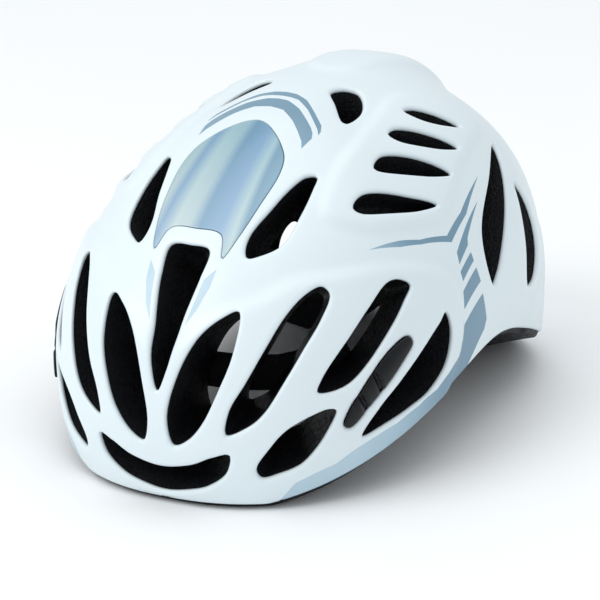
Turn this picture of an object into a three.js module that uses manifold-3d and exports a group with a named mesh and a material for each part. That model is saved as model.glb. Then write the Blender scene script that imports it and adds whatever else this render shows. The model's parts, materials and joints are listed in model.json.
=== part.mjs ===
// A cycling helmet: printed shell, foam liner, comfort pads, webbing and an adjustable cradle.
// The helmet stands on its rim. Front is -Y, the wearer's left is +X, up is +Z, millimetres.
import * as THREE from "three";
import { mergeVertices } from "three/addons/utils/BufferGeometryUtils.js";
import Module from "manifold-3d";

const wasm = await Module();
wasm.setup();

// ---------------------------------------------------------------- driving dimensions

const DEG = Math.PI / 180;
const GAP = 0.3;

// Every dome surface is a distance from the hub, a point on the mid-plane inside the head.
const HUB = new THREE.Vector3(0, 3.7, 44.5);
const OUTER = { front: 152, rear: 141, side: 99, top: 113, plan: [2.3, 2.8], rise: [1.95, 2.3], sag: 1.3 };
const CAVITY = { front: 110, rear: 96, side: 78, top: 83, plan: [2.2, 2.3], rise: [2.1, 2.1], sag: 2.6 };
const DOME_SLICES = 32;
const DOME_RINGS = 11;
const DOME_END = 118;

// Cutting prisms start well inside the cavity and end well outside the shell.
const NEAR = 60;
const FAR = 200;

const SHELL_THICK = 1.8;
const PANEL_SINK = 0.75;
const PANEL_POCKET = 1.0;

// The raised spine along the top, growing towards the tail.
const SPINE = { low: 3, lowStart: 48, lowFull: 20, high: 13, highStart: -5, highFull: -58, fade: -56, gone: -82,
  halfWidth: 12 };

// The rim rises over each ear and has a notch at the back for the dial.
const RIM = { arch: 49, drop: 4, front: 1.8, rear: 2.4, notch: 22, notchHalf: 10 };
const SHELL_FOOT = 2.2;
const LINER_LIP = 2.5;

// The fit system turns up and down about the temple pins.
const TEMPLE = [14, 80];
const BAND = { offset: 4, thick: 1.6, half: 6 };
const BAND_PATH = [[20, 79], [14, 80], [0, 82.5], [-20, 84], [-38, 80]];
const BELT_PATH = [[-40.2, 79.2, 0], [-56, 69, 0.6], [-72, 54, 2], [-83.5, 39.2, 3.4]];
const BELT_HALF = 4.4;
const PIN_RADIUS = 2.5;
const ANCHOR = { radius: 9, sunk: 2.6, proud: 0.6, pin: 8.4, head: 4.6, headFrom: 7.2 };
const ANCHOR_POCKET = { radius: 9.4, deep: 3, clear: 12 };
const CRADLE = { offset: 9, thick: 2.4, half: 15, tilt: 98, turns: [-26, -13, 0, 13, 26] };
const CRADLE_PAD = { thick: 4, half: 12, turns: [4, 13, 24], clear: 0.4 };
const HOUSING = { x: 29, z: 11, y0: 91.2, y1: 100.2, wall: 1.6, level: 30, mouth: 8.4, mouthDeep: 5.4, bore: 3.4 };
const GEAR = { teeth: 10, module: 0.8, thick: 3.6 };
const KNOB = { radius: 16, y0: 101.4, y1: 110.4, flutes: 14, flute: 0.9, hollow: 11, hollowDeep: 3.2, socket: 3.1,
  socketDeep: 4.6, sink: 3.6, sinkDeep: 2.6 };
const SHAFT = { radius: 2.8, length: 4.2 };
const SCREW = { radius: 3.2, sunk: 0.5, thick: 1.8, slot: 0.5, slotDeep: 0.8 };
const CLICK = { outer: 9, inner: 7.4, nose: 10.4, noseHalf: 1, thick: 2.1 };
const RACK = { near: -14.2, far: 25.8, teeth: [-5, 4], back: 3.2, thick: 1.8 };
const RECESS = { x: 38, y: 116, top: 62 };
const LIFTER = { radius: 102.7, thick: 1.4, half: 6, from: -4, to: 24 };
const CHANNEL = { inner: 76, outer: 108, half: 11, from: -30, to: 36 };
const GUIDE = { inner: 99.6, outer: 107.4, half: 9.5, from: 13, to: 20, play: 0.4 };

// Webbing and the buckle, stowed against the inside of the liner.
const STRAP = { offset: 1.2, thick: 1.6, half: 7.5 };
const DIVIDER = { left: 58, offset: 2.4, long: 26, wide: 18, thick: 4.6 };
const LEVER = { long: 20, wide: 15, thick: 2, pin: 1.1, pinLength: 2.6 };
const BUCKLE = { y: HUB.y, z: 116, half: 12, thick: 7, join: 1.8, wall: 2, cavity: 3.6, window: [8.6, 15.4] };
const PLUG = { from: -13, tongue: 17, tongueHalf: 3, bar: 2.8, slotHalf: 8.4, slotWide: 2.2 };
const PRONG = { from: -1, to: 16, inner: 6.4, outer: 8.6, barb: [9.4, 14.6], barbOut: 11.4 };
const PLUG_THICK = 2.8;
const SOCKET_END = 27;

// Strap paths are [forward, left, extra distance from the liner].
const FRONT_STRAP = [[56, 66], [40, 64], [24, 61, 0.2], [15, 59, 2.6]];
const REAR_STRAP = [[-52, 71], [-38, 67], [-22, 62, 0.2], [-16.8, 59, 2.6]];
const CHIN_LEFT = [[0, 50, 2.6], [0, 42, 0.6], [0, 33, 1.2], [0, 21.8, 6.6]];
const CHIN_RIGHT = [[0, 50, 2.6], [0, 38, 0.4], [0, 24, 2.6], [0, 10.6, 8.6]];

// ---------------------------------------------------------------- vent outlines

// Outlines on the dome are [forward, left] in degrees from straight up, for the left half.
// Each is a closed smooth curve through its points.
const CENTRE_VENT = [[60, 0], [60.5, 5], [66, 5], [74, 3.6], [82, 2.2], [86, 0], [82, -2.2], [74, -3.6], [66, -5],
  [60.5, -5]];
const SMILE_VENT = [[94, 21], [95.5, 16], [98, 10], [99.6, 0], [98, -10], [95.5, -16], [94, -21], [97.5, -20.5],
  [101.5, -15], [103.6, -8], [104.6, 0], [103.6, 8], [101.5, 15], [97.5, 20.5]];

const THROUGH_VENTS = {
  brow: [[69.5, 16.5], [77, 17.5], [84, 15.6], [89.5, 13], [93.5, 9], [95, 4.5], [91, 2.8], [84, 4.6],
    [76, 8.6], [71.5, 13]],
  front: [[58, 32.1], [58.5, 34.5], [63.9, 34.6], [69.9, 33.2], [76.3, 31.3], [83.8, 28.2], [87.4, 25],
    [90.4, 19.2], [86.4, 19.2], [80.4, 22], [73.5, 24.5], [66.8, 26.6], [61.6, 29]],
  side: [[46.7, 46.5], [43.3, 49.1], [41.6, 52.6], [46, 53], [52.4, 52.8], [63.9, 50.4], [70.5, 47.3],
    [74.5, 42.9], [75.9, 39.6], [73.3, 39.7], [62.9, 42.8], [54.7, 44.7]],
  ear: [[34.3, 66.9], [35, 71.9], [42, 76.4], [53.2, 75.3], [62.4, 70.4], [69.7, 65], [77.6, 57.2],
    [69.9, 59.2], [61.3, 62.3], [51.2, 64.9], [39.1, 66.6]],
  low: [[76.8, 46.4], [77.4, 44.2], [79.8, 40.9], [85.6, 34.4], [89.9, 31.4], [94.9, 28.8], [96.1, 30.5],
    [93.8, 35.8], [90.4, 41], [87.2, 43.5], [82.5, 45.6]],
  crown: [[37, 17.9], [35.6, 20], [39.2, 20.7], [46, 21.1], [54.5, 20.2], [58.4, 16.6], [59.8, 13.8],
    [58.3, 12.8], [55.3, 12.6], [48.7, 14.4], [41.8, 16.1]],
  pocket: [[-0.8, 9.6], [-2.4, 12.6], [1.2, 16], [7, 17.9], [13.9, 16.9], [8, 11.6], [3.4, 8.2]],
  quarter: [[-32, 39.2], [-17.9, 49.1], [-2, 61.3], [0.2, 69], [-2, 75], [-8.6, 72.4], [-15.8, 66],
    [-24, 55.9], [-30.8, 44]],
  corner: [[-34, 49], [-33.6, 56], [-34.4, 65], [-36, 75], [-47, 70], [-50, 61], [-43, 53]],
  tail: [[-57, 17], [-65, 14.4], [-77, 16], [-82, 20], [-77, 25], [-65, 24], [-58, 21]],
  hollow: [[-70, 40], [-80, 38.6], [-89, 44], [-88, 53], [-79, 55], [-71, 48]],
};

// The four gills on each side of the crown stop part of the way into the foam.
const GILL_DEPTH = 15;
const GILLS = [
  [[-4.1, 24.5], [-7.6, 24.9], [-14.1, 29.8], [-18.1, 34.4], [-10.5, 32], [-5.8, 28.4]],
  [[8.6, 26.9], [4.7, 26.6], [-4, 32.8], [-10.3, 39.2], [-2.7, 37.2], [7.7, 29.8]],
  [[23.3, 29.9], [17.4, 29.2], [4.8, 38.2], [0, 43.8], [9.1, 40.9], [22.3, 31.7]],
  [[38, 30.9], [33.1, 31], [21.4, 40.6], [14, 47.2], [23.8, 43.8], [37.6, 33.2]],
];

// A black plastic insert fills this opening.
const INSERT_DEPTH = 8;
const INSERT_OUTLINE = [[51.4, 58.6], [51.3, 60.6], [55.9, 60.4], [63.4, 58.8], [71.2, 55.8],
  [77.6, 52.4], [78.2, 49.9], [74.7, 49.9], [70.6, 51], [58.2, 54.7]];

// Two short grooves cross the lower edge of the insert.
const INSERT_NOTCHES = [[66.5, 56], [72, 53]];
const NOTCH = { half: 0.8, inner: 2.4, outer: 4, depth: 2.4 };

// The glossy panel on the spine, notched round the top of the centre vent.
const PANEL_OUTLINE = [[56.6, 0], [57, 6.4], [61.5, 8.6], [56, 10.6], [48, 11.9], [40, 12.4],
  [34.8, 11.3], [31.2, 8.8], [28.2, 5.8], [25.6, 2.4], [24.8, 0], [25.6, -2.4], [28.2, -5.8],
  [31.2, -8.8], [34.8, -11.3], [40, -12.4], [48, -11.9], [56, -10.6], [61.5, -8.6], [57, -6.4]];

// ---------------------------------------------------------------- dome geometry

function smoothStep(value, from, to) {
  const t = Math.min(Math.max((value - from) / (to - from), 0), 1);
  return t * t * (3 - 2 * t);
}

function bearing(forward, left) {
  const tilt = Math.hypot(forward, left) * DEG;
  const turn = Math.atan2(left, forward);
  return new THREE.Vector3(Math.sin(tilt) * Math.sin(turn), -Math.sin(tilt) * Math.cos(turn), Math.cos(tilt));
}

function bearingOf(direction) {
  const tilt = Math.acos(direction.z) / DEG;
  const turn = Math.atan2(direction.x, -direction.y);
  return [tilt * Math.cos(turn), tilt * Math.sin(turn)];
}

function domeRadius(direction, dome) {
  const level = Math.hypot(direction.x, direction.y);
  const ahead = level > 1e-9 ? -direction.y / level : 0;
  const front = smoothStep(ahead, -0.6, 0.6);
  const long = dome.rear + (dome.front - dome.rear) * front;
  const plan = dome.plan[1] + (dome.plan[0] - dome.plan[1]) * front;
  const rise = dome.rise[1] + (dome.rise[0] - dome.rise[1]) * front;
  const tall = direction.z > 0 ? dome.top : dome.top * dome.sag;
  const flat = Math.abs(direction.y / long) ** plan + Math.abs(direction.x / dome.side) ** plan;
  return (flat ** (rise / plan) + Math.abs(direction.z / tall) ** rise) ** (-1 / rise);
}

function spineHeight(direction) {
  const [forward, left] = bearingOf(direction);
  const rear = SPINE.high * smoothStep(-forward, -SPINE.highStart, -SPINE.highFull)
    * (1 - smoothStep(-forward, -SPINE.fade, -SPINE.gone));
  const front = SPINE.low * smoothStep(-forward, -SPINE.lowStart, -SPINE.lowFull);
  return (front + rear) / (1 + (left / SPINE.halfWidth) ** 4);
}

const outerRadius = (direction) => domeRadius(direction, OUTER) + spineHeight(direction);
const cavityRadius = (direction) => domeRadius(direction, CAVITY);
const outerInset = (inset) => (direction) => outerRadius(direction) - inset;

function rimHeight(turn) {
  const across = Math.abs(Math.sin(turn));
  const power = Math.cos(turn) > 0 ? RIM.front : RIM.rear;
  const behind = (180 - Math.abs(turn) / DEG) / RIM.notchHalf;
  return RIM.arch * across ** power - RIM.drop + RIM.notch * Math.exp(-(behind ** 2));
}

// ---------------------------------------------------------------- solids

function manifold(vertProperties, triVerts) {
  return new wasm.Manifold(new wasm.Mesh({ numProp: 3, vertProperties, triVerts }));
}

function solidFrom(points, triangles) {
  let volume = 0;
  for (const [a, b, c] of triangles) {
    volume += points[a].dot(new THREE.Vector3().crossVectors(points[b], points[c]));
  }
  const faces = volume > 0 ? triangles : triangles.map(([a, b, c]) => [a, c, b]);
  const vertProperties = new Float32Array(points.flatMap((p) => [p.x, p.y, p.z]));
  return manifold(vertProperties, new Uint32Array(faces.flat()));
}

function solidOf(geometry, matrix) {
  let bare = geometry.clone();
  bare.deleteAttribute("normal");
  bare.deleteAttribute("uv");
  bare = mergeVertices(bare, 1e-5);
  if (matrix) bare.applyMatrix4(matrix);
  return manifold(new Float32Array(bare.attributes.position.array), new Uint32Array(bare.index.array));
}

function move(x, y, z) {
  return new THREE.Matrix4().makeTranslation(x, y, z);
}

function box(x0, x1, y0, y1, z0, z1, matrix) {
  const place = move((x0 + x1) / 2, (y0 + y1) / 2, (z0 + z1) / 2);
  if (matrix) place.premultiply(matrix);
  return solidOf(new THREE.BoxGeometry(x1 - x0, y1 - y0, z1 - z0), place);
}

// A cylinder between two points, with any number of sides.
function rod(from, to, radius, sides = 20) {
  const along = new THREE.Vector3().subVectors(to, from);
  const turn = new THREE.Quaternion().setFromUnitVectors(new THREE.Vector3(0, 1, 0), along.clone().normalize());
  const middle = new THREE.Vector3().addVectors(from, to).multiplyScalar(0.5);
  const place = new THREE.Matrix4().compose(middle, turn, new THREE.Vector3(1, 1, 1));
  return solidOf(new THREE.CylinderGeometry(radius, radius, along.length(), sides), place);
}

function rodX(x0, x1, y, z, radius, sides) {
  return rod(new THREE.Vector3(x0, y, z), new THREE.Vector3(x1, y, z), radius, sides);
}

function rodY(y0, y1, x, z, radius, sides) {
  return rod(new THREE.Vector3(x, y0, z), new THREE.Vector3(x, y1, z), radius, sides);
}

// A closed bowl between two radius functions, from the crown down past the rim.
function bowl(outside, inside) {
  const points = [];
  const triangles = [];
  for (const radius of [outside, inside]) {
    points.push(HUB.clone().addScaledVector(new THREE.Vector3(0, 0, 1), radius(new THREE.Vector3(0, 0, 1))));
    for (let ring = 1; ring <= DOME_RINGS; ring += 1) {
      const tilt = (DOME_END * ring) / DOME_RINGS;
      for (let slice = 0; slice < DOME_SLICES; slice += 1) {
        const turn = (2 * Math.PI * slice) / DOME_SLICES;
        const direction = bearing(tilt * Math.cos(turn), tilt * Math.sin(turn));
        points.push(HUB.clone().addScaledVector(direction, radius(direction)));
      }
    }
  }
  const count = 1 + DOME_RINGS * DOME_SLICES;
  const at = (skin, ring, slice) => skin * count + 1 + (ring - 1) * DOME_SLICES + (slice % DOME_SLICES);
  const cell = (skin, ring, slice) => {
    return [[0, 0], [1, 0], [1, 1], [0, 1]].map(([down, round]) => at(skin, ring + down, slice + round));
  };
  for (let slice = 0; slice < DOME_SLICES; slice += 1) {
    triangles.push([0, at(0, 1, slice), at(0, 1, slice + 1)]);
    triangles.push([count, at(1, 1, slice + 1), at(1, 1, slice)]);
    for (let ring = 1; ring < DOME_RINGS; ring += 1) {
      const [a, b, c, d] = cell(0, ring, slice);
      const [e, f, g, h] = cell(1, ring, slice);
      triangles.push([a, b, c], [a, c, d], [e, g, f], [e, h, g]);
    }
    const [a, b] = [at(0, DOME_RINGS, slice), at(0, DOME_RINGS, slice + 1)];
    const [c, d] = [at(1, DOME_RINGS, slice), at(1, DOME_RINGS, slice + 1)];
    triangles.push([a, c, d], [a, d, b]);
  }
  return solidFrom(points, triangles);
}

// Everything below the rim: a wide washer whose top follows a height at each turn.
function belowRim(height) {
  const slices = 60;
  const reaches = [60, 84, 112, 150, 240];
  const floor = -80;
  const corners = [...reaches.map((reach) => [reach, true]), [reaches.at(-1), false], [reaches[0], false]];
  const n = corners.length;
  const points = [];
  const triangles = [];
  for (let slice = 0; slice < slices; slice += 1) {
    const turn = -Math.PI + (2 * Math.PI * slice) / slices;
    for (const [reach, top] of corners) {
      const z = top ? height(turn) : floor;
      points.push(new THREE.Vector3(reach * Math.sin(turn), HUB.y - reach * Math.cos(turn), z));
    }
  }
  for (let slice = 0; slice < slices; slice += 1) {
    const next = (slice + 1) % slices;
    for (let corner = 0; corner < n; corner += 1) {
      const after = (corner + 1) % n;
      const [a, b, c, d] = [slice * n + corner, slice * n + after, next * n + after, next * n + corner];
      triangles.push([a, b, c], [a, c, d]);
    }
  }
  return solidFrom(points, triangles);
}

function smoothOutline(outline, count) {
  const corners = outline.map(([forward, left]) => new THREE.Vector3(forward, left, 0));
  const curve = new THREE.CatmullRomCurve3(corners, true, "centripetal");
  return curve.getPoints(count).slice(0, count).map((p) => [p.x, p.y]);
}

function mirrored(outline) {
  return outline.map(([forward, left]) => [forward, -left]).reverse();
}

function shrunk(outline, degrees) {
  const area = THREE.ShapeUtils.area(outline.map(([x, y]) => new THREE.Vector2(x, y)));
  const side = Math.sign(area);
  return outline.map((point, i) => {
    const before = outline[(i + outline.length - 1) % outline.length];
    const after = outline[(i + 1) % outline.length];
    const along = new THREE.Vector2(after[0] - before[0], after[1] - before[1]).normalize();
    return [point[0] - side * along.y * degrees, point[1] + side * along.x * degrees];
  });
}

// A prism whose walls point at the hub, between two distances that may depend on direction.
function radialPrism(outline, inside, outside) {
  const flat = outline.map(([x, y]) => new THREE.Vector2(x, y));
  if (THREE.ShapeUtils.isClockWise(flat)) flat.reverse();
  const points = [];
  for (const reach of [inside, outside]) {
    for (const corner of flat) {
      const direction = bearing(corner.x, corner.y);
      const distance = typeof reach === "function" ? reach(direction) : reach;
      points.push(HUB.clone().addScaledVector(direction, distance));
    }
  }
  const n = flat.length;
  const triangles = [];
  for (const [a, b, c] of THREE.ShapeUtils.triangulateShape(flat, [])) {
    const left = THREE.ShapeUtils.isClockWise([flat[a], flat[b], flat[c]]);
    const [d, e] = left ? [c, b] : [b, c];
    triangles.push([a, e, d], [n + a, n + d, n + e]);
  }
  for (let i = 0; i < n; i += 1) {
    const j = (i + 1) % n;
    triangles.push([i, j, n + j], [i, n + j, n + i]);
  }
  return solidFrom(points, triangles);
}

// A solid through a list of convex rings, with flat ends.
function loft(rings) {
  const n = rings[0].length;
  const points = rings.flat();
  const triangles = [];
  for (let ring = 0; ring + 1 < rings.length; ring += 1) {
    for (let i = 0; i < n; i += 1) {
      const [a, b] = [ring * n + i, ring * n + ((i + 1) % n)];
      triangles.push([a, b, b + n], [a, b + n, a + n]);
    }
  }
  const last = (rings.length - 1) * n;
  for (let i = 1; i + 1 < n; i += 1) {
    triangles.push([0, i + 1, i], [last, last + i, last + i + 1]);
  }
  return solidFrom(points, triangles);
}

function onCavity(direction, offset) {
  return HUB.clone().addScaledVector(direction, cavityRadius(direction) - offset);
}

// A strip lying along the inside of the cavity. Each path point is [forward, left, extra offset].
function cavityStrip(path, { offset, thick, half, crown = 0, steps = 12 }) {
  const corners = path.map(([forward, left, extra = 0]) => new THREE.Vector3(forward, left, extra));
  const curve = new THREE.CatmullRomCurve3(corners, false, "centripetal");
  const centre = (t) => {
    const p = curve.getPoint(Math.min(Math.max(t, 0), 1));
    return onCavity(bearing(p.x, p.y), offset + p.z);
  };
  const rings = [];
  for (let i = 0; i <= steps; i += 1) {
    const t = i / steps;
    const extra = curve.getPoint(t).z;
    const middle = centre(t);
    const along = centre(t + 0.01).sub(centre(t - 0.01)).normalize();
    const out = middle.clone().sub(HUB).normalize();
    const across = new THREE.Vector3().crossVectors(along, out).normalize();
    const corner = (side, depth) => {
      const direction = middle.clone().addScaledVector(across, side * half).sub(HUB).normalize();
      return onCavity(direction, offset + extra + depth);
    };
    const ring = [corner(-1, 0), corner(0, 0), corner(1, 0), corner(1, thick - crown)];
    if (crown > 0) ring.push(corner(0.6, thick), corner(-0.6, thick));
    ring.push(corner(-1, thick - crown));
    rings.push(ring);
  }
  return loft(rings);
}

// ---------------------------------------------------------------- scene graph helpers

const helmet = new THREE.Group();

const MATERIALS = {
  shell_white: { color: 0xeef3f6, roughness: 0.42, metalness: 0 },
  panel_silver: { color: 0x9fb4c3, roughness: 0.16, metalness: 0.35 },
  foam_black: { color: 0x1b1c1e, roughness: 0.9, metalness: 0 },
  plastic_black: { color: 0x17181a, roughness: 0.4, metalness: 0 },
  nylon_grey: { color: 0x4b4f54, roughness: 0.5, metalness: 0 },
  pad_fabric: { color: 0x232528, roughness: 0.95, metalness: 0 },
  webbing_black: { color: 0x202124, roughness: 0.85, metalness: 0 },
  steel: { color: 0xb9bcc0, roughness: 0.3, metalness: 1 },
};

function add(name, material, solids) {
  const whole = (Array.isArray(solids) ? solids : [solids]).reduce((sum, solid) => sum.add(solid));
  const { vertProperties, triVerts } = whole.getMesh();
  const geometry = new THREE.BufferGeometry();
  geometry.setAttribute("position", new THREE.Float32BufferAttribute(vertProperties, 3));
  geometry.setIndex(Array.from(triVerts));
  geometry.computeVertexNormals();
  const mesh = new THREE.Mesh(geometry, new THREE.MeshStandardMaterial(MATERIALS[material]));
  mesh.name = name;
  helmet.add(mesh);
}

const SIDES = [["left", 1], ["right", -1]];
const turned = (outline, side) => (side > 0 ? outline : mirrored(outline));
const onSide = (path, side) => path.map(([forward, left, extra = 0]) => [forward, side * left, extra]);

// ---------------------------------------------------------------- shell, panel, liner, inserts

const VENT_POINTS = 10;
const SMILE_POINTS = 16;
const GILL_POINTS = 7;
const PANEL_POINTS = 26;
const PANEL_PLAY = 0.14;
const INSERT_PLAY = 0.16;
const INSERT_PROUD = 0.4;

function ventOutlines() {
  const outlines = [smoothOutline(CENTRE_VENT, VENT_POINTS), smoothOutline(SMILE_VENT, SMILE_POINTS)];
  for (const outline of Object.values(THROUGH_VENTS)) {
    for (const [, side] of SIDES) outlines.push(turned(smoothOutline(outline, VENT_POINTS), side));
  }
  return outlines;
}

function gillOutlines() {
  return GILLS.flatMap((gill) => SIDES.map(([, side]) => turned(smoothOutline(gill, GILL_POINTS), side)));
}

const throughCuts = ventOutlines().map((outline) => radialPrism(outline, NEAR, FAR));
const gillCuts = gillOutlines().map((outline) => radialPrism(outline, outerInset(GILL_DEPTH), FAR));
const insertOutlines = SIDES.map(([, side]) => turned(smoothOutline(INSERT_OUTLINE, VENT_POINTS), side));
const insertCuts = insertOutlines.map((outline) => radialPrism(outline, outerInset(INSERT_DEPTH), FAR));
const panelOutline = smoothOutline(PANEL_OUTLINE, PANEL_POINTS);

function outerShell() {
  let shell = bowl(outerInset(0), outerInset(SHELL_THICK));
  const pocket = bowl(outerInset(-10), outerInset(PANEL_POCKET));
  shell = shell.subtract(radialPrism(panelOutline, NEAR, FAR).intersect(pocket));
  for (const cut of [...throughCuts, ...gillCuts, ...insertCuts]) shell = shell.subtract(cut);
  return shell.subtract(belowRim((turn) => Math.max(SHELL_FOOT, rimHeight(turn))));
}

function crownPanel() {
  const skin = bowl(outerInset(0), outerInset(PANEL_SINK));
  return skin.intersect(radialPrism(shrunk(panelOutline, PANEL_PLAY), NEAR, FAR));
}

const pinPoint = onCavity(bearing(...TEMPLE), 0);

// A ring sector about the temple axis, used for the lifter strip, its channel and its guide.
function sector({ inner, outer, half, from, to }, steps) {
  const rings = [];
  for (let i = 0; i <= steps; i += 1) {
    const angle = (from + ((to - from) * i) / steps) * DEG;
    const at = (x, reach) => {
      return new THREE.Vector3(x, pinPoint.y + reach * Math.cos(angle), pinPoint.z + reach * Math.sin(angle));
    };
    rings.push([at(-half, inner), at(half, inner), at(half, outer), at(-half, outer)]);
  }
  return loft(rings);
}

function foamLiner() {
  let liner = bowl(outerInset(SHELL_THICK + GAP), cavityRadius);
  for (const cut of [...throughCuts, ...gillCuts, ...insertCuts]) liner = liner.subtract(cut);
  liner = liner.subtract(box(-RECESS.x, RECESS.x, 60, RECESS.y, -60, RECESS.top));
  liner = liner.subtract(sector(CHANNEL, 6));
  for (const [, side] of SIDES) {
    const [from, to] = [pinPoint.x - ANCHOR_POCKET.clear, pinPoint.x + ANCHOR_POCKET.deep];
    liner = liner.subtract(rodX(side * from, side * to, pinPoint.y, pinPoint.z, ANCHOR_POCKET.radius, 24));
  }
  return liner.subtract(belowRim((turn) => Math.max(0, rimHeight(turn) - LINER_LIP)));
}

function sideInsert(outline) {
  const tight = shrunk(outline, INSERT_PLAY);
  const body = radialPrism(tight, outerInset(INSERT_DEPTH - GAP), outerInset(-INSERT_PROUD));
  const side = outline[0][1] > 0 ? 1 : -1;
  const cuts = INSERT_NOTCHES.map(([forward, left]) => {
    const notch = [[-1, -NOTCH.inner], [1, -NOTCH.inner], [1, NOTCH.outer], [-1, NOTCH.outer]]
      .map(([f, l]) => [forward + f * NOTCH.half, left + l]);
    return radialPrism(turned(notch, side), outerInset(NOTCH.depth), FAR);
  });
  return cuts.reduce((solid, cut) => solid.subtract(cut), body);
}

add("outer_shell", "shell_white", outerShell());
add("crown_panel", "panel_silver", crownPanel());
add("foam_liner", "foam_black", foamLiner());
SIDES.forEach(([name], i) => add(`side_insert_${name}`, "plastic_black", sideInsert(insertOutlines[i])));

// ---------------------------------------------------------------- comfort pads

// The pads in front of the crown and behind it leave a lane for the stowed chin strap.
const PAD = { offset: 1.3, thick: 6, half: 9, crown: 1.6 };
const BROW_PAD = { offset: 2, path: [[66, 52], [82, 28], [87, 0], [82, -28], [66, -52]] };
const CROWN_FRONT = { half: 11, path: [[52, 0], [14, 0]] };
const CROWN_REAR = [[-14, 0], [-40, 0]];
const SIDE_FRONT = [[52, 27], [16, 29]];
const SIDE_REAR = [[-14, 29], [-46, 27]];

const pad = (path, change) => cavityStrip(path, { ...PAD, ...change });

add("brow_pad", "pad_fabric", pad(BROW_PAD.path, { offset: BROW_PAD.offset, steps: 16 }));
add("crown_pad_front", "pad_fabric", pad(CROWN_FRONT.path, { half: CROWN_FRONT.half, steps: 6 }));
add("crown_pad_rear", "pad_fabric", pad(CROWN_REAR, { steps: 5 }));
for (const [name, side] of SIDES) {
  add(`crown_pad_front_${name}`, "pad_fabric", pad(onSide(SIDE_FRONT, side), { steps: 6 }));
  add(`crown_pad_rear_${name}`, "pad_fabric", pad(onSide(SIDE_REAR, side), { steps: 5 }));
}

// ---------------------------------------------------------------- webbing, dividers and buckle

// Local frame of a divider: x lengthwise to the rear, y down the wall, z in towards the head.
function dividerFrame(side) {
  const out = bearing(0, side * DIVIDER.left);
  const inward = out.clone().negate();
  const rear = new THREE.Vector3(0, 1, 0);
  const down = new THREE.Vector3().crossVectors(inward, rear).multiplyScalar(side);
  const origin = onCavity(out, DIVIDER.offset);
  return { origin, rear, down, inward };
}

function dividerPoint(frame, x, y, z) {
  const point = frame.origin.clone().addScaledVector(frame.rear, x);
  return point.addScaledVector(frame.down, y).addScaledVector(frame.inward, z);
}

function dividerBox(frame, [x0, x1], [y0, y1], [z0, z1]) {
  const ring = (x) => [[y0, z0], [y1, z0], [y1, z1], [y0, z1]].map(([y, z]) => dividerPoint(frame, x, y, z));
  return loft([ring(x0), ring(x1)]);
}

function dividerRod(frame, half, radius) {
  const [from, to] = [-half, half].map((x) => dividerPoint(frame, x, LEVER_AXIS.y, LEVER_AXIS.z));
  return rod(from, to, radius, 12);
}

const LEVER_AXIS = { y: DIVIDER.wide / 2 - 1.4, z: DIVIDER.thick + GAP + LEVER.thick / 2 };
const EAR = { thick: 2.4, half: 2 };

function dividerBody(frame) {
  const half = DIVIDER.long / 2;
  const body = dividerBox(frame, [-half, half], [-DIVIDER.wide / 2, DIVIDER.wide / 2], [0, DIVIDER.thick]);
  const across = [LEVER_AXIS.y - EAR.half, LEVER_AXIS.y + EAR.half];
  const ears = [[-half, -half + EAR.thick], [half - EAR.thick, half]].map((span) => {
    return dividerBox(frame, span, across, [DIVIDER.thick - 0.5, LEVER_AXIS.z + EAR.half]);
  });
  return body.add(ears[0]).add(ears[1]).subtract(dividerRod(frame, half + 1, LEVER.pin + GAP));
}

function dividerLever(frame) {
  const half = LEVER.long / 2;
  const z = [LEVER_AXIS.z - LEVER.thick / 2, LEVER_AXIS.z + LEVER.thick / 2];
  const plate = dividerBox(frame, [-half, half], [LEVER_AXIS.y - LEVER.wide, LEVER_AXIS.y], z);
  const barrel = dividerRod(frame, half, LEVER.thick / 2);
  const pins = dividerRod(frame, half + LEVER.pinLength, LEVER.pin * 0.8);
  return plate.add(barrel).add(pins);
}

for (const [name, side] of SIDES) {
  const frame = dividerFrame(side);
  add(`front_strap_${name}`, "webbing_black", cavityStrip(onSide(FRONT_STRAP, side), { ...STRAP, steps: 10 }));
  add(`rear_strap_${name}`, "webbing_black", cavityStrip(onSide(REAR_STRAP, side), { ...STRAP, steps: 10 }));
  add(`divider_${name}`, "plastic_black", dividerBody(frame));
  add(`divider_lever_${name}`, "plastic_black", dividerLever(frame));
}
add("chin_strap_left", "webbing_black", cavityStrip(onSide(CHIN_LEFT, 1), { ...STRAP, steps: 8 }));
add("chin_strap_right", "webbing_black", cavityStrip(onSide(CHIN_RIGHT, -1), { ...STRAP, steps: 10 }));

// A box in the buckle: x along the strap, y each way from the middle, z centred on the buckle.
function buckleBox(x0, x1, y0, y1, thick) {
  const [low, high] = [Math.min(y0, y1), Math.max(y0, y1)];
  return box(x0, x1, BUCKLE.y + low, BUCKLE.y + high, BUCKLE.z - thick / 2, BUCKLE.z + thick / 2);
}

function buckleSocket() {
  const inner = BUCKLE.half - BUCKLE.wall;
  const body = buckleBox(BUCKLE.join, SOCKET_END, -BUCKLE.half, BUCKLE.half, BUCKLE.thick);
  const pocket = buckleBox(BUCKLE.join - 1, 20, -inner, inner, BUCKLE.cavity);
  const windows = buckleBox(...BUCKLE.window, -BUCKLE.half - 1, BUCKLE.half + 1, BUCKLE.cavity);
  const slotTo = SOCKET_END - PLUG.bar + 0.4;
  const slot = buckleBox(slotTo - PLUG.slotWide, slotTo, -PLUG.slotHalf, PLUG.slotHalf, BUCKLE.thick + 2);
  return body.subtract(pocket).subtract(windows).subtract(slot);
}

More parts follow.
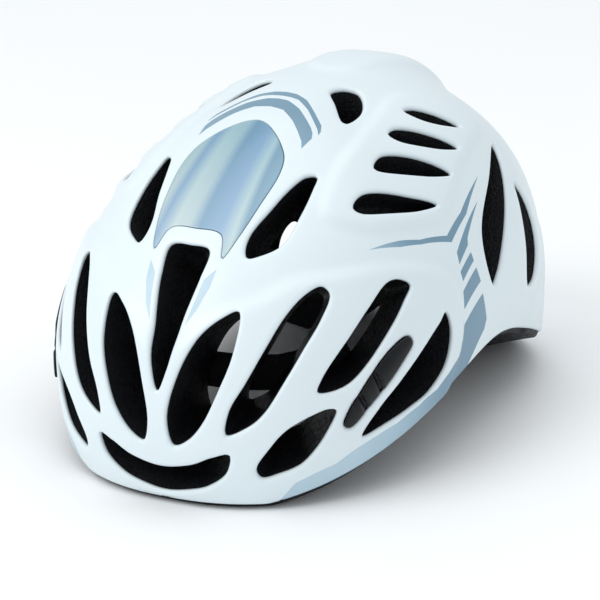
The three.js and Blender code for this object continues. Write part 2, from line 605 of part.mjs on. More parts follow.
function bucklePlug() {
  const body = buckleBox(PLUG.from, BUCKLE.join - GAP, -BUCKLE.half, BUCKLE.half, BUCKLE.thick);
  const tongue = buckleBox(0, PLUG.tongue, -PLUG.tongueHalf, PLUG.tongueHalf, PLUG_THICK);
  const slotFrom = PLUG.from + PLUG.bar - 0.4;
  const slot = buckleBox(slotFrom, slotFrom + PLUG.slotWide, -PLUG.slotHalf, PLUG.slotHalf, BUCKLE.thick + 2);
  const seats = [-1, 1].map((side) => {
    return buckleBox(PRONG.from - 0.4, BUCKLE.join + 1, side * (PRONG.inner - 1), side * (PRONG.outer + 1),
      BUCKLE.cavity);
  });
  return body.add(tongue).subtract(slot).subtract(seats[0]).subtract(seats[1]);
}

function buckleProng(side) {
  const arm = buckleBox(PRONG.from, PRONG.to, side * PRONG.inner, side * PRONG.outer, PLUG_THICK);
  const barb = buckleBox(...PRONG.barb, side * (PRONG.outer - 0.4), side * PRONG.barbOut, PLUG_THICK);
  return arm.add(barb);
}

add("buckle_socket", "plastic_black", buckleSocket());
add("buckle_plug", "plastic_black", bucklePlug());
add("buckle_prong_front", "plastic_black", buckleProng(-1));
add("buckle_prong_rear", "plastic_black", buckleProng(1));

// ---------------------------------------------------------------- fit system

function templeAnchor(side) {
  const x = (inward) => side * (pinPoint.x - inward);
  const base = rodX(x(-ANCHOR.sunk), x(ANCHOR.proud), pinPoint.y, pinPoint.z, ANCHOR.radius, 24);
  const pin = rodX(x(0), x(ANCHOR.pin), pinPoint.y, pinPoint.z, PIN_RADIUS, 16);
  const head = rodX(x(ANCHOR.headFrom), x(ANCHOR.pin), pinPoint.y, pinPoint.z, ANCHOR.head, 20);
  return base.add(pin).add(head);
}

function sideBand(side) {
  const band = cavityStrip(onSide(BAND_PATH, side), { ...BAND, steps: 12 });
  const [from, to] = [pinPoint.x - 14, pinPoint.x + 6];
  const hole = rodX(side * from, side * to, pinPoint.y, pinPoint.z, PIN_RADIUS + GAP, 16);
  return band.subtract(hole);
}

function fitBelt(side) {
  return cavityStrip(onSide(BELT_PATH, side), { ...BAND, half: BELT_HALF, steps: 8 });
}

// Points at one tilt round the back of the head.
function cradlePath(turns) {
  return turns.map((turn) => [-CRADLE.tilt * Math.cos(turn * DEG), CRADLE.tilt * Math.sin(turn * DEG)]);
}

function cradleShell() {
  return cavityStrip(cradlePath(CRADLE.turns), { ...CRADLE, steps: 14 });
}

function cradlePad(side) {
  const offset = CRADLE.offset + CRADLE.thick + CRADLE_PAD.clear;
  return cavityStrip(onSide(cradlePath(CRADLE_PAD.turns), side), { ...PAD, ...CRADLE_PAD, offset, steps: 6 });
}

function dialHousing() {
  const { x, z, y0, y1, wall, level, mouth, mouthDeep } = HOUSING;
  const body = box(-x, x, y0, y1, level - z, level + z);
  const inside = box(-x + wall, x - wall, y0 - 1, y1 - wall, level - z + wall, level + z - wall);
  const mouths = box(-x - 1, x + 1, y0 - 1, y0 + mouthDeep, level - mouth, level + mouth);
  const bore = rodY(y1 - 2 * wall, y1 + 1, 0, level, HOUSING.bore, 20);
  return body.subtract(inside).subtract(mouths).subtract(bore);
}

const PITCH = Math.PI * GEAR.module;
const PITCH_RADIUS = (GEAR.teeth * GEAR.module) / 2;
const GEAR_Y = [HOUSING.y0 + 1.6, HOUSING.y0 + 1.6 + GEAR.thick];
const TOOTH = { up: 0.55, down: 0.95, root: 0.42, tip: 0.22 };

function extrudeY(shape, y0, y1, x, z) {
  const geometry = new THREE.ExtrudeGeometry(shape, { depth: y1 - y0, bevelEnabled: false, curveSegments: 4 });
  const place = new THREE.Matrix4().makeRotationX(Math.PI / 2).premultiply(move(x, y1, z));
  return solidOf(geometry, place);
}

function driveGear() {
  const shape = new THREE.Shape();
  for (let tooth = 0; tooth < GEAR.teeth; tooth += 1) {
    const turn = (tooth * 2 * Math.PI) / GEAR.teeth;
    const half = (width) => (width * PITCH) / 2 / PITCH_RADIUS;
    const corners = [[-half(TOOTH.root), -TOOTH.down], [-half(TOOTH.tip), TOOTH.up], [half(TOOTH.tip), TOOTH.up],
      [half(TOOTH.root), -TOOTH.down]];
    for (const [angle, height] of corners) {
      const reach = PITCH_RADIUS + height;
      const [x, y] = [reach * Math.cos(turn + angle), reach * Math.sin(turn + angle)];
      if (tooth === 0 && angle === corners[0][0] && height < 0) shape.moveTo(x, y);
      else shape.lineTo(x, y);
    }
  }
  const gear = extrudeY(shape, ...GEAR_Y, 0, HOUSING.level);
  const shaft = rodY(GEAR_Y[0] + 1, KNOB.y0 + SHAFT.length, 0, HOUSING.level, SHAFT.radius, 16);
  return gear.add(shaft);
}

// A toothed belt end inside the housing. side +1 is the wearer's left belt, above the gear.
function beltRack(side) {
  const shape = new THREE.Shape();
  shape.moveTo(RACK.near, PITCH_RADIUS + RACK.back);
  shape.lineTo(RACK.near, PITCH_RADIUS + TOOTH.down);
  for (let tooth = RACK.teeth[0]; tooth <= RACK.teeth[1]; tooth += 1) {
    const middle = tooth * PITCH;
    shape.lineTo(middle - (TOOTH.root * PITCH) / 2, PITCH_RADIUS + TOOTH.down);
    shape.lineTo(middle - (TOOTH.tip * PITCH) / 2, PITCH_RADIUS - TOOTH.up);
    shape.lineTo(middle + (TOOTH.tip * PITCH) / 2, PITCH_RADIUS - TOOTH.up);
    shape.lineTo(middle + (TOOTH.root * PITCH) / 2, PITCH_RADIUS + TOOTH.down);
  }
  shape.lineTo(RACK.far, PITCH_RADIUS + TOOTH.down);
  shape.lineTo(RACK.far, PITCH_RADIUS + RACK.back);
  const geometry = new THREE.ExtrudeGeometry(shape, { depth: RACK.thick, bevelEnabled: false });
  const place = new THREE.Matrix4().makeRotationX(Math.PI / 2);
  if (side < 0) place.premultiply(new THREE.Matrix4().makeRotationY(Math.PI));
  place.premultiply(move(0, GEAR_Y[0] + (GEAR.thick + RACK.thick) / 2, HOUSING.level));
  return solidOf(geometry, place);
}

function dialKnob() {
  const shape = new THREE.Shape();
  const points = 4 * KNOB.flutes;
  for (let i = 0; i < points; i += 1) {
    const turn = (2 * Math.PI * i) / points;
    const reach = KNOB.radius - KNOB.flute + KNOB.flute * Math.cos(turn * KNOB.flutes);
    if (i === 0) shape.moveTo(reach * Math.cos(turn), reach * Math.sin(turn));
    else shape.lineTo(reach * Math.cos(turn), reach * Math.sin(turn));
  }
  const body = extrudeY(shape, KNOB.y0, KNOB.y1, 0, HOUSING.level);
  const underside = rodY(KNOB.y0 - 1, KNOB.y0 + KNOB.hollowDeep, 0, HOUSING.level, KNOB.hollow, 28);
  const socket = rodY(KNOB.y0 - 1, KNOB.y0 + KNOB.socketDeep, 0, HOUSING.level, KNOB.socket, 16);
  const counterbore = rodY(KNOB.y1 - KNOB.sinkDeep, KNOB.y1 + 1, 0, HOUSING.level, KNOB.sink, 20);
  return body.subtract(underside).subtract(socket).subtract(counterbore);
}

function dialScrew() {
  const top = KNOB.y1 - SCREW.sunk;
  const head = rodY(top - SCREW.thick, top, 0, HOUSING.level, SCREW.radius, 20);
  const groove = (x, z) => box(-x, x, top - SCREW.slotDeep, top + 1, HOUSING.level - z, HOUSING.level + z);
  return head.subtract(groove(SCREW.slot, SCREW.radius + 1)).subtract(groove(SCREW.radius + 1, SCREW.slot));
}

function clickSpring() {
  const [y0, y1] = [HOUSING.y1 + GAP, HOUSING.y1 + GAP + CLICK.thick];
  const ring = rodY(y0, y1, 0, HOUSING.level, CLICK.outer, 28);
  const inside = rodY(y0 - 1, y1 + 1, 0, HOUSING.level, CLICK.inner, 28);
  const { level } = HOUSING;
  const noses = box(-CLICK.nose, CLICK.nose, y0, y1, level - CLICK.noseHalf, level + CLICK.noseHalf);
  return ring.add(noses).subtract(inside);
}

const lifter = { inner: LIFTER.radius - LIFTER.thick / 2, outer: LIFTER.radius + LIFTER.thick / 2 };

function heightGuide() {
  const [inner, outer] = [lifter.inner - GUIDE.play, lifter.outer + GUIDE.play];
  const slot = { inner, outer, half: LIFTER.half + GUIDE.play, from: GUIDE.from - 2, to: GUIDE.to + 2 };
  return sector(GUIDE, 2).subtract(sector(slot, 4));
}

for (const [name, side] of SIDES) {
  add(`temple_anchor_${name}`, "plastic_black", templeAnchor(side));
  add(`side_band_${name}`, "nylon_grey", sideBand(side));
  add(`fit_belt_${name}`, "nylon_grey", fitBelt(side));
  add(`belt_rack_${name}`, "nylon_grey", beltRack(side));
  add(`cradle_pad_${name}`, "pad_fabric", cradlePad(side));
}
add("height_guide", "plastic_black", heightGuide());
add("height_strip", "nylon_grey", sector({ ...LIFTER, ...lifter }, 10));
add("cradle", "plastic_black", cradleShell());
add("dial_housing", "plastic_black", dialHousing());
add("drive_gear", "nylon_grey", driveGear());
add("click_spring", "steel", clickSpring());
add("dial_knob", "plastic_black", dialKnob());
add("dial_screw", "steel", dialScrew());

export default helmet;
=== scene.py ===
"""Cycling helmet: the looks. Metres, front -Y, wearer's left +X, up +Z."""
import json
import math

import bpy
import bmesh
import numpy as np
from mathutils import Matrix, Vector
from mathutils.geometry import delaunay_2d_cdt
from mathutils.kdtree import KDTree


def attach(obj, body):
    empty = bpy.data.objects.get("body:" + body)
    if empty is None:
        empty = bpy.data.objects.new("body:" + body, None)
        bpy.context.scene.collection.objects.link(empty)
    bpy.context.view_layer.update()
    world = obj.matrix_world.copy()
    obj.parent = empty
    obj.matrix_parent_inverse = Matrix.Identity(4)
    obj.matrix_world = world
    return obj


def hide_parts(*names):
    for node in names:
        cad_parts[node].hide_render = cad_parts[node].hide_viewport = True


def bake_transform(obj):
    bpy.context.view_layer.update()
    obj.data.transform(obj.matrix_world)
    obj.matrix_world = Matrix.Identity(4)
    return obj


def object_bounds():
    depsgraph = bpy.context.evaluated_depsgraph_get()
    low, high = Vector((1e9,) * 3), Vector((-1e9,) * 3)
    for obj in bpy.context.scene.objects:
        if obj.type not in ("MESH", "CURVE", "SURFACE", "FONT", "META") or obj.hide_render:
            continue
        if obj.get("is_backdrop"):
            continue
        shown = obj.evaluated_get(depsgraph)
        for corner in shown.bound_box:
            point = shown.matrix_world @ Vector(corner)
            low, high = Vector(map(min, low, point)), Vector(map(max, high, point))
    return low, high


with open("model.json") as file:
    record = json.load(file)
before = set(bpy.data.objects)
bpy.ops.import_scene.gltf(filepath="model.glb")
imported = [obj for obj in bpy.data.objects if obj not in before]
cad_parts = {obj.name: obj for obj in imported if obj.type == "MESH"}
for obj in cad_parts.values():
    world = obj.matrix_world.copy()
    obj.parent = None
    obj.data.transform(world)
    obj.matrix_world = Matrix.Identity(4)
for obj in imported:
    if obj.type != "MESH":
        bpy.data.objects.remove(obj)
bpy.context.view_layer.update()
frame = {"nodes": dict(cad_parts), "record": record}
NODES = frame["nodes"]
MM = 0.001

# -------- the dome, as in the CAD, in mm and degrees

HUB = np.array([0.0, 3.7, 44.5])
OUTER = dict(front=152, rear=141, side=99, top=113, plan=(2.3, 2.8), rise=(1.95, 2.3), sag=1.3)
CAVITY = dict(front=110, rear=96, side=78, top=83, plan=(2.2, 2.3), rise=(2.1, 2.1), sag=2.6)
SPINE = dict(low=3, low_start=-48, low_full=-20, high=13, high_start=5, high_full=58, fade=56, gone=82,
             half_width=12)
RIM = dict(arch=49, drop=4, front=1.8, rear=2.4, notch=22, notch_half=10)
RECESS = dict(x=38, y=116, top=62)
CHANNEL = dict(y=-9.8, z=56.6, reach=108, half=11, start=-40, fade=32, end=36)
FOAM_MIN = 4.5
FAR = 1e9
SIDES = (("left", 1), ("right", -1))


def smooth_step(value, start, end):
    t = np.clip((value - start) / (end - start), 0, 1)
    return t * t * (3 - 2 * t)


def bearing(points):
    """Unit directions of [forward, left] degrees from straight up."""
    points = np.asarray(points, float)
    tilt = np.radians(np.hypot(points[:, 0], points[:, 1]))
    turn = np.arctan2(points[:, 1], points[:, 0])
    return np.stack([np.sin(tilt) * np.sin(turn), -np.sin(tilt) * np.cos(turn), np.cos(tilt)], axis=1)


def dome_radius(direction, dome):
    x, y, z = direction.T
    level = np.hypot(x, y)
    front = smooth_step(-y / np.maximum(level, 1e-9), -0.6, 0.6)
    long = dome["rear"] + (dome["front"] - dome["rear"]) * front
    plan = dome["plan"][1] + (dome["plan"][0] - dome["plan"][1]) * front
    rise = dome["rise"][1] + (dome["rise"][0] - dome["rise"][1]) * front
    tall = np.where(z > 0, dome["top"], dome["top"] * dome["sag"])
    flat = np.abs(y / long) ** plan + np.abs(x / dome["side"]) ** plan
    return (flat ** (rise / plan) + np.abs(z / tall) ** rise) ** (-1 / rise)


def spine_height(points):
    back, left = -points[:, 0], points[:, 1]
    rear = SPINE["high"] * smooth_step(back, SPINE["high_start"], SPINE["high_full"])
    rear = rear * (1 - smooth_step(back, SPINE["fade"], SPINE["gone"]))
    front = SPINE["low"] * smooth_step(back, SPINE["low_start"], SPINE["low_full"])
    return (front + rear) / (1 + (left / SPINE["half_width"]) ** 4)


def rim_height(turn):
    power = np.where(np.cos(turn) > 0, RIM["front"], RIM["rear"])
    behind = (180 - np.degrees(np.abs(turn))) / RIM["notch_half"]
    return RIM["arch"] * np.abs(np.sin(turn)) ** power - RIM["drop"] + RIM["notch"] * np.exp(-(behind**2))


# -------- outlines, left half unless they cross the middle


def mirrored(outline):
    return [(forward, -left) for forward, left in reversed(outline)]


def crossing(half):
    """A whole outline from its left half, whose first and last points are on the middle line."""
    return half + mirrored(half[1:-1])


def both_sides(outline):
    return [outline, mirrored(outline)]


CENTRE_VENT = crossing([(60, 0), (60.5, 5), (66, 5), (74, 3.6), (82, 2.2), (86, 0)])
SMILE_VENT = [(94, 21), (95.5, 16), (98, 10), (99.6, 0), (98, -10), (95.5, -16), (94, -21), (97.5, -20.5),
              (101.5, -15), (103.6, -8), (104.6, 0), (103.6, 8), (101.5, 15), (97.5, 20.5)]
THROUGH_VENTS = {
    "brow": [(69.5, 16.5), (77, 17.5), (84, 15.6), (89.5, 13), (93.5, 9), (95, 4.5), (91, 2.8), (84, 4.6),
             (76, 8.6), (71.5, 13)],
    "front": [(58, 32.1), (58.5, 34.5), (63.9, 34.6), (69.9, 33.2), (76.3, 31.3), (83.8, 28.2),
              (87.4, 25), (90.4, 19.2), (86.4, 19.2), (80.4, 22), (73.5, 24.5), (66.8, 26.6), (61.6, 29)],
    "side": [(46.7, 46.5), (43.3, 49.1), (41.6, 52.6), (46, 53), (52.4, 52.8), (63.9, 50.4), (70.5, 47.3),
             (74.5, 42.9), (75.9, 39.6), (73.3, 39.7), (62.9, 42.8), (54.7, 44.7)],
    "ear": [(34.3, 66.9), (35, 71.9), (42, 76.4), (53.2, 75.3), (62.4, 70.4), (69.7, 65), (77.6, 57.2),
            (69.9, 59.2), (61.3, 62.3), (51.2, 64.9), (39.1, 66.6)],
    "low": [(76.8, 46.4), (77.4, 44.2), (79.8, 40.9), (85.6, 34.4), (89.9, 31.4), (94.9, 28.8),
            (96.1, 30.5), (93.8, 35.8), (90.4, 41), (87.2, 43.5), (82.5, 45.6)],
    "crown": [(37, 17.9), (35.6, 20), (39.2, 20.7), (46, 21.1), (54.5, 20.2), (58.4, 16.6), (59.8, 13.8),
              (58.3, 12.8), (55.3, 12.6), (48.7, 14.4), (41.8, 16.1)],
    "pocket": [(-0.8, 9.6), (-2.4, 12.6), (1.2, 16), (7, 17.9), (13.9, 16.9), (8, 11.6), (3.4, 8.2)],
    "quarter": [(-32, 39.2), (-17.9, 49.1), (-2, 61.3), (0.2, 69), (-2, 75), (-8.6, 72.4), (-15.8, 66),
                (-24, 55.9), (-30.8, 44)],
    "corner": [(-34, 49), (-33.6, 56), (-34.4, 65), (-36, 75), (-47, 70), (-50, 61), (-43, 53)],
    "tail": [(-57, 17), (-65, 14.4), (-77, 16), (-82, 20), (-77, 25), (-65, 24), (-58, 21)],
    "hollow": [(-70, 40), (-80, 38.6), (-89, 44), (-88, 53), (-79, 55), (-71, 48)],
}
GILLS = [
    [(-4.1, 24.5), (-7.6, 24.9), (-14.1, 29.8), (-18.1, 34.4), (-10.5, 32), (-5.8, 28.4)],
    [(8.6, 26.9), (4.7, 26.6), (-4, 32.8), (-10.3, 39.2), (-2.7, 37.2), (7.7, 29.8)],
    [(23.3, 29.9), (17.4, 29.2), (4.8, 38.2), (0, 43.8), (9.1, 40.9), (22.3, 31.7)],
    [(38, 30.9), (33.1, 31), (21.4, 40.6), (14, 47.2), (23.8, 43.8), (37.6, 33.2)],
]
INSERT = [(51.4, 58.6), (51.3, 60.6), (55.9, 60.4), (63.4, 58.8), (71.2, 55.8), (77.6, 52.4),
          (78.2, 49.9), (74.7, 49.9), (70.6, 51), (58.2, 54.7)]
PANEL = crossing([(56.6, 0), (57, 6.4), (61.5, 8.6), (56, 10.6), (48, 11.9), (40, 12.4), (34.8, 11.3),
                  (31.2, 8.8), (28.2, 5.8), (25.6, 2.4), (24.8, 0)])

SAMPLES = 24

# Printed bands; the last, along the rim, is partly painted shade of the lower edge. The chevrons cross the
# middle, the others are mirrored.
CHEVRONS = [
    crossing([(14.3, 0), (14.7, 2.6), (17.2, 6.6), (19.8, 9.4), (22.3, 12), (23.9, 13.2), (25.8, 13.9),
              (30.2, 13.4), (28, 12.3), (25.4, 10.1), (22.7, 7.6), (19.4, 3.6), (18.7, 0)]),
    crossing([(10.2, 0), (10.6, 2.8), (12.4, 6.2), (16.5, 10.3), (19.9, 13.6), (22.1, 14.5), (23.7, 14.6),
              (21.9, 13.5), (16.4, 8.4), (13.4, 4.6), (12.8, 2.4), (12.6, 0)]),
]
BANDS = [
    [(63.5, 8.4), (66, 6.2), (70, 5.6), (74.5, 4.6), (71.5, 6.6), (67, 8.2)],
    [(44.1, 38.6), (34.6, 44.7), (28.5, 49.1), (17.2, 54.6), (5.1, 52.9), (-12.7, 47.2), (2.8, 54.2),
     (16.6, 56.8), (29.3, 50), (36, 45.6)],
    [(-6.4, 52.9), (5.4, 56.4), (16.5, 59.8), (17.8, 62.7), (9.1, 60.8), (7.6, 59.2), (1.6, 56.5)],
    [(-56, 27.4), (-66, 27), (-79, 28), (-88, 29.4), (-79, 30), (-70, 29.4), (-63.2, 32.4), (-61, 45),
     (-59, 54), (-58.6, 42), (-59.4, 33)],
    [(-88, 8), (-96, 11.5), (-104, 15), (-104, 8), (-96, 5), (-88, 3)],
    [(8.9, 62.8), (18.8, 64.3), (19.3, 66.8), (8.9, 65.2)],
    [(8.7, 67.2), (21.1, 68.8), (23.6, 72.8), (8.1, 71.3)],
    # the band along the lower rim: print, and partly painted shade of the lower bevel
    [(26, 76), (29, 78.7), (36, 79.5), (42.2, 79.1), (50, 77.6), (59.3, 73.2), (68.1, 67.7), (75, 61.8),
     (81, 56.2), (86, 51.8), (94, 41), (101, 36), (112, 40), (90, 80), (60, 100), (44, 100), (35, 88),
     (22.4, 86.1), (11.3, 83.9), (8.4, 81.8), (8.5, 74.6)],
]


def tangents(p0, p1, p2, p3):
    """The tangents of a centripetal Catmull-Rom curve at its two middle points."""
    d0, d1, d2 = (max(np.linalg.norm(b - a), 1e-6) ** 0.5 for a, b in ((p0, p1), (p1, p2), (p2, p3)))
    m1 = ((p1 - p0) / d0 - (p2 - p0) / (d0 + d1) + (p2 - p1) / d1) * d1
    m2 = ((p2 - p1) / d1 - (p3 - p1) / (d1 + d2) + (p3 - p2) / d2) * d1
    return m1, m2


def hermite(p1, m1, p2, m2, t):
    """A point between p1 and p2 on the curve with these tangents."""
    return ((2 * t**3 - 3 * t**2 + 1) * p1 + (t**3 - 2 * t**2 + t) * m1
            + (3 * t**2 - 2 * t**3) * p2 + (t**3 - t**2) * m2)


def smooth_outline(outline, spacing):
    """A closed curve through the outline's points, evenly spaced in degrees."""
    corners = np.asarray(outline, float)
    count = len(corners)
    samples = []
    for i in range(count):
        p0, p1, p2, p3 = (corners[(i + k) % count] for k in (-1, 0, 1, 2))
        m1, m2 = tangents(p0, p1, p2, p3)
        samples += [hermite(p1, m1, p2, m2, t) for t in np.linspace(0, 1, SAMPLES, endpoint=False)]
    return even(np.array(samples), spacing)


def even(loop, spacing):
    """The same closed loop with evenly spaced points."""
    closed = np.vstack([loop, loop[:1]])
    length = np.concatenate([[0], np.cumsum(np.linalg.norm(np.diff(closed, axis=0), axis=1))])
    count = max(8, int(round(length[-1] / spacing)))
    at = np.linspace(0, length[-1], count, endpoint=False)
    return np.stack([np.interp(at, length, closed[:, 0]), np.interp(at, length, closed[:, 1])], axis=1)


def straight_outline(outline, spacing):
    """A closed outline with its corners kept, filled in along its sides."""
    corners = np.asarray(outline, float)
    points = []
    for a, b in zip(corners, np.roll(corners, -1, axis=0)):
        steps = max(1, int(math.ceil(np.linalg.norm(b - a) / spacing)))
        points += [a + (b - a) * k / steps for k in range(steps)]
    return np.array(points)


def counter_clockwise(loop):
    following = np.roll(loop, -1, axis=0)
    area = np.sum(loop[:, 0] * following[:, 1] - following[:, 0] * loop[:, 1])
    return loop if area > 0 else loop[::-1]


def outward(loop, distance):
    """A counter-clockwise loop moved out by a distance."""
    along = np.roll(loop, -1, axis=0) - np.roll(loop, 1, axis=0)
    along /= np.maximum(np.linalg.norm(along, axis=1, keepdims=True), 1e-9)
    return loop + np.stack([along[:, 1], -along[:, 0]], axis=1) * distance


def inside(points, loop):
    """True for each point inside a closed loop."""
    result = np.zeros(len(points), bool)
    low, high = loop.min(axis=0), loop.max(axis=0)
    near = np.where(np.all((points >= low) & (points <= high), axis=1))[0]
    x, y = points[near].T
    crossed = np.zeros(len(near), bool)
    for (ax, ay), (bx, by) in zip(loop, np.roll(loop, -1, axis=0)):
        if ay != by:
            crossed ^= ((ay > y) != (by > y)) & (x < (bx - ax) * (y - ay) / (by - ay) + ax)
    result[near] = crossed
    return result


def curve_distance(points, path, closed=False):
    """Distance in degrees to a path."""
    path = np.asarray(path, float)
    ends = np.roll(path, -1, axis=0) if closed else path[1:]
    starts = path if closed else path[:-1]
    best = np.full(len(points), FAR)
    for a, b in zip(starts, ends):
        d = b - a
        t = np.clip(((points - a) @ d) / (d @ d), 0, 1)
        off = points - a - t[:, None] * d
        best = np.minimum(best, np.hypot(off[:, 0], off[:, 1]))
    return best


# -------- sculpted relief of the shell

GILL_FIELD = [(44, 26), (40, 36), (30, 44), (17, 50), (6, 48.5), (-4, 44), (-20, 38.5), (-30, 34), (-26, 27),
              (-12, 19.5), (4, 21), (20, 22.5), (34, 23)]
FRONT_BODY = [(60, 26), (54, 34), (41, 47), (32, 55), (27, 60), (25, 64), (27, 74), (35, 81), (48, 84),
              (66, 76), (84, 62), (100, 44), (112, 20), (112, -2), (84, -2), (70, 14), (66, 20)]
SPINE_BODY = [(-10, -4), (-14, 5.6), (-30, 9), (-50, 11), (-66, 9.6), (-84, 13), (-96, 19), (-112, 26),
              (-112, -4)]
REAR_BODY = [(-40, 88), (-46, 78.5), (-56, 71), (-61, 61), (-62.5, 48), (-65, 36), (-72, 31), (-84, 30.5),
             (-98, 36), (-112, 44), (-112, 100), (-60, 112)]

# Each plateau is a loop, its height in mm and the width in degrees of the slope round it.
PLATEAUS = [(smooth_outline(outline, 2.0), height, width)
            for outline, height, width in ((GILL_FIELD, 1.9, 3.4), (FRONT_BODY, 2.2, 3.6),
                                           (SPINE_BODY, 1.6, 3.0), (REAR_BODY, 1.6, 3.0))]


def folded(points):
    """The same bearings, all on the left side."""
    return np.stack([points[:, 0], np.abs(points[:, 1])], axis=1)


def relief(points):
    """Height in mm that the moulded shapes add to the smooth dome."""
    left_points = folded(points)
    total = np.zeros(len(points))
    for loop, height, width in PLATEAUS:
        distance = curve_distance(left_points, loop, closed=True)
        signed = np.where(inside(left_points, loop), distance, -distance)
        total += height * smooth_step(signed, -width / 2, width / 2)
    return total


def outer_radius(points):
    return dome_radius(bearing(points), OUTER) + spine_height(points) + relief(points)


def cavity_radius(points):
    """The head cavity, with the dial recess and the channel of the height strip."""
    direction = bearing(points)
    base = dome_radius(direction, CAVITY)
    x, y, z = direction.T
    far = np.full(len(points), FAR)
    for limit, along in ((RECESS["y"] - HUB[1], y), (RECESS["top"] - HUB[2], z)):
        far = np.minimum(far, np.where(along > 1e-6, limit / np.maximum(along, 1e-6), FAR))
    across = np.abs(x) * far
    mask = (1 - smooth_step(across, RECESS["x"] - 4, RECESS["x"])) * (y > 0)
    recess = base + np.maximum(far - base, 0) * mask
    # distance from the hub to the channel's outer arc
    dy, dz = CHANNEL["y"] - HUB[1], CHANNEL["z"] - HUB[2]
    flat = np.maximum(y**2 + z**2, 1e-9)
    middle = (y * dy + z * dz) / flat
    arc = middle + np.sqrt(np.maximum(middle**2 - (dy**2 + dz**2 - CHANNEL["reach"] ** 2) / flat, 0))
    angle = np.degrees(np.arctan2(z * arc - dz, y * arc - dy))
    lane = 1 - smooth_step(np.abs(x) * arc, CHANNEL["half"] - 2, CHANNEL["half"])
    lane *= (angle > CHANNEL["start"]) * (1 - smooth_step(angle, CHANNEL["fade"], CHANNEL["end"])) * (y > 0)
    radius = np.maximum(recess, base + np.maximum(arc - base, 0) * lane)
    deepest = dome_radius(direction, OUTER) + spine_height(points) - FOAM_MIN
    return np.minimum(radius, deepest)


def place(points, radius):
    return HUB + bearing(points) * np.asarray(radius)[:, None]


def rim_loop(radius, lift):
    """Bearings where a surface meets the rim, one for each turn."""
    turns = np.linspace(-math.pi, math.pi, RIM_COUNT, endpoint=False)
    height = lift(rim_height(turns))
    low, high = np.full(RIM_COUNT, 30.0), np.full(RIM_COUNT, 125.0)
    for _ in range(34):
        tilt = (low + high) / 2
        points = np.stack([tilt * np.cos(turns), tilt * np.sin(turns)], axis=1)
        above = place(points, radius(points))[:, 2] > height
        low, high = np.where(above, tilt, low), np.where(above, high, tilt)
    return np.stack([low * np.cos(turns), low * np.sin(turns)], axis=1)


# -------- triangulated sheets

LIP_STEPS = [math.radians(a) for a in (18, 36, 54, 72, 90)]
EDGE_STEP = 0.12
ROWS_END = 112
COLUMNS_END = 100


def loop_edges(start, count):
    return [(start + i, start + (i + 1) % count) for i in range(count)]


class Sheet:
    """A surface over the bearing plane, cut by a rim and holes whose edges roll inwards."""

    def __init__(self, rim, rim_lip, holes, hole_lips, marks, grid):
        points, depths, edges = [], [], []
        loops = [(rim, rim_lip, -1)] + [(hole, lip, 1) for hole, lip in zip(holes, hole_lips)]
        dense = [even(loop, EDGE_STEP) for loop, _, _ in loops]
        tree_points = np.vstack(dense)
        owner = np.concatenate([[k] * len(loop) for k, loop in enumerate(dense)])
        tree = KDTree(len(tree_points))
        for i, (x, y) in enumerate(tree_points):
            tree.insert((x, y, 0), i)
        tree.balance()
        widths = np.array([lip[0] for _, lip, _ in loops])

        for loop, lip, _ in loops:
            edges += loop_edges(len(points), len(loop))
            points.extend(loop)
            depths.extend([lip[1]] * len(loop))
        for loop, (width, deep), way in loops:
            for angle in LIP_STEPS:
                distance = width * (1 - math.cos(angle))
                for x, y in outward(loop, way * distance):
                    if tree.find((x, y, 0))[2] > 0.95 * distance:
                        points.append((x, y))
                        depths.append(deep * (1 - math.sin(angle)))
        for mark in marks:
            edges += loop_edges(len(points), len(mark))
            points.extend(mark)
            depths.extend([None] * len(mark))
        rows = np.arange(-ROWS_END, ROWS_END, grid * 0.866)
        for k, forward in enumerate(rows):
            for left in np.arange(-COLUMNS_END + (k % 2) * grid / 2, COLUMNS_END, grid):
                found = tree.find((forward, left, 0))
                if found[2] > widths[owner[found[1]]] + grid * 0.35:
                    points.append((forward, left))
                    depths.append(0.0)
        flat = [Vector((x, y)) for x, y in points]
        out = delaunay_2d_cdt(flat, edges, [], 0, 1e-7)
        self.flat = np.array([(v.x, v.y) for v in out[0]])
        faces = np.array(out[2])
        middle = self.flat[faces].mean(axis=1)
        keep = inside(middle, rim)
        for hole in holes:
            keep &= ~inside(middle, hole)
        self.faces = faces[keep]
        self.middle = middle[keep]
        self.depth = np.zeros(len(self.flat))
        for i, originals in enumerate(out[3]):
            known = [depths[k] for k in originals if depths[k] is not None]
            if known:
                self.depth[i] = max(known)
            else:
                x, y = self.flat[i]
                _, index, distance = tree.find((x, y, 0))
                width, deep = loops[owner[index]][1]
                ratio = min(distance / width, 1)
                self.depth[i] = deep * (1 - math.sqrt(max(0, 1 - (1 - ratio) ** 2)))


def mesh_object(name, points, faces):
    mesh = bpy.data.meshes.new(name)
    mesh.from_pydata([tuple(p * MM) for p in np.asarray(points)], [], faces)
    mesh.validate()
    mesh.update()
    obj = bpy.data.objects.new(name, mesh)
    bpy.context.scene.collection.objects.link(obj)
    return obj


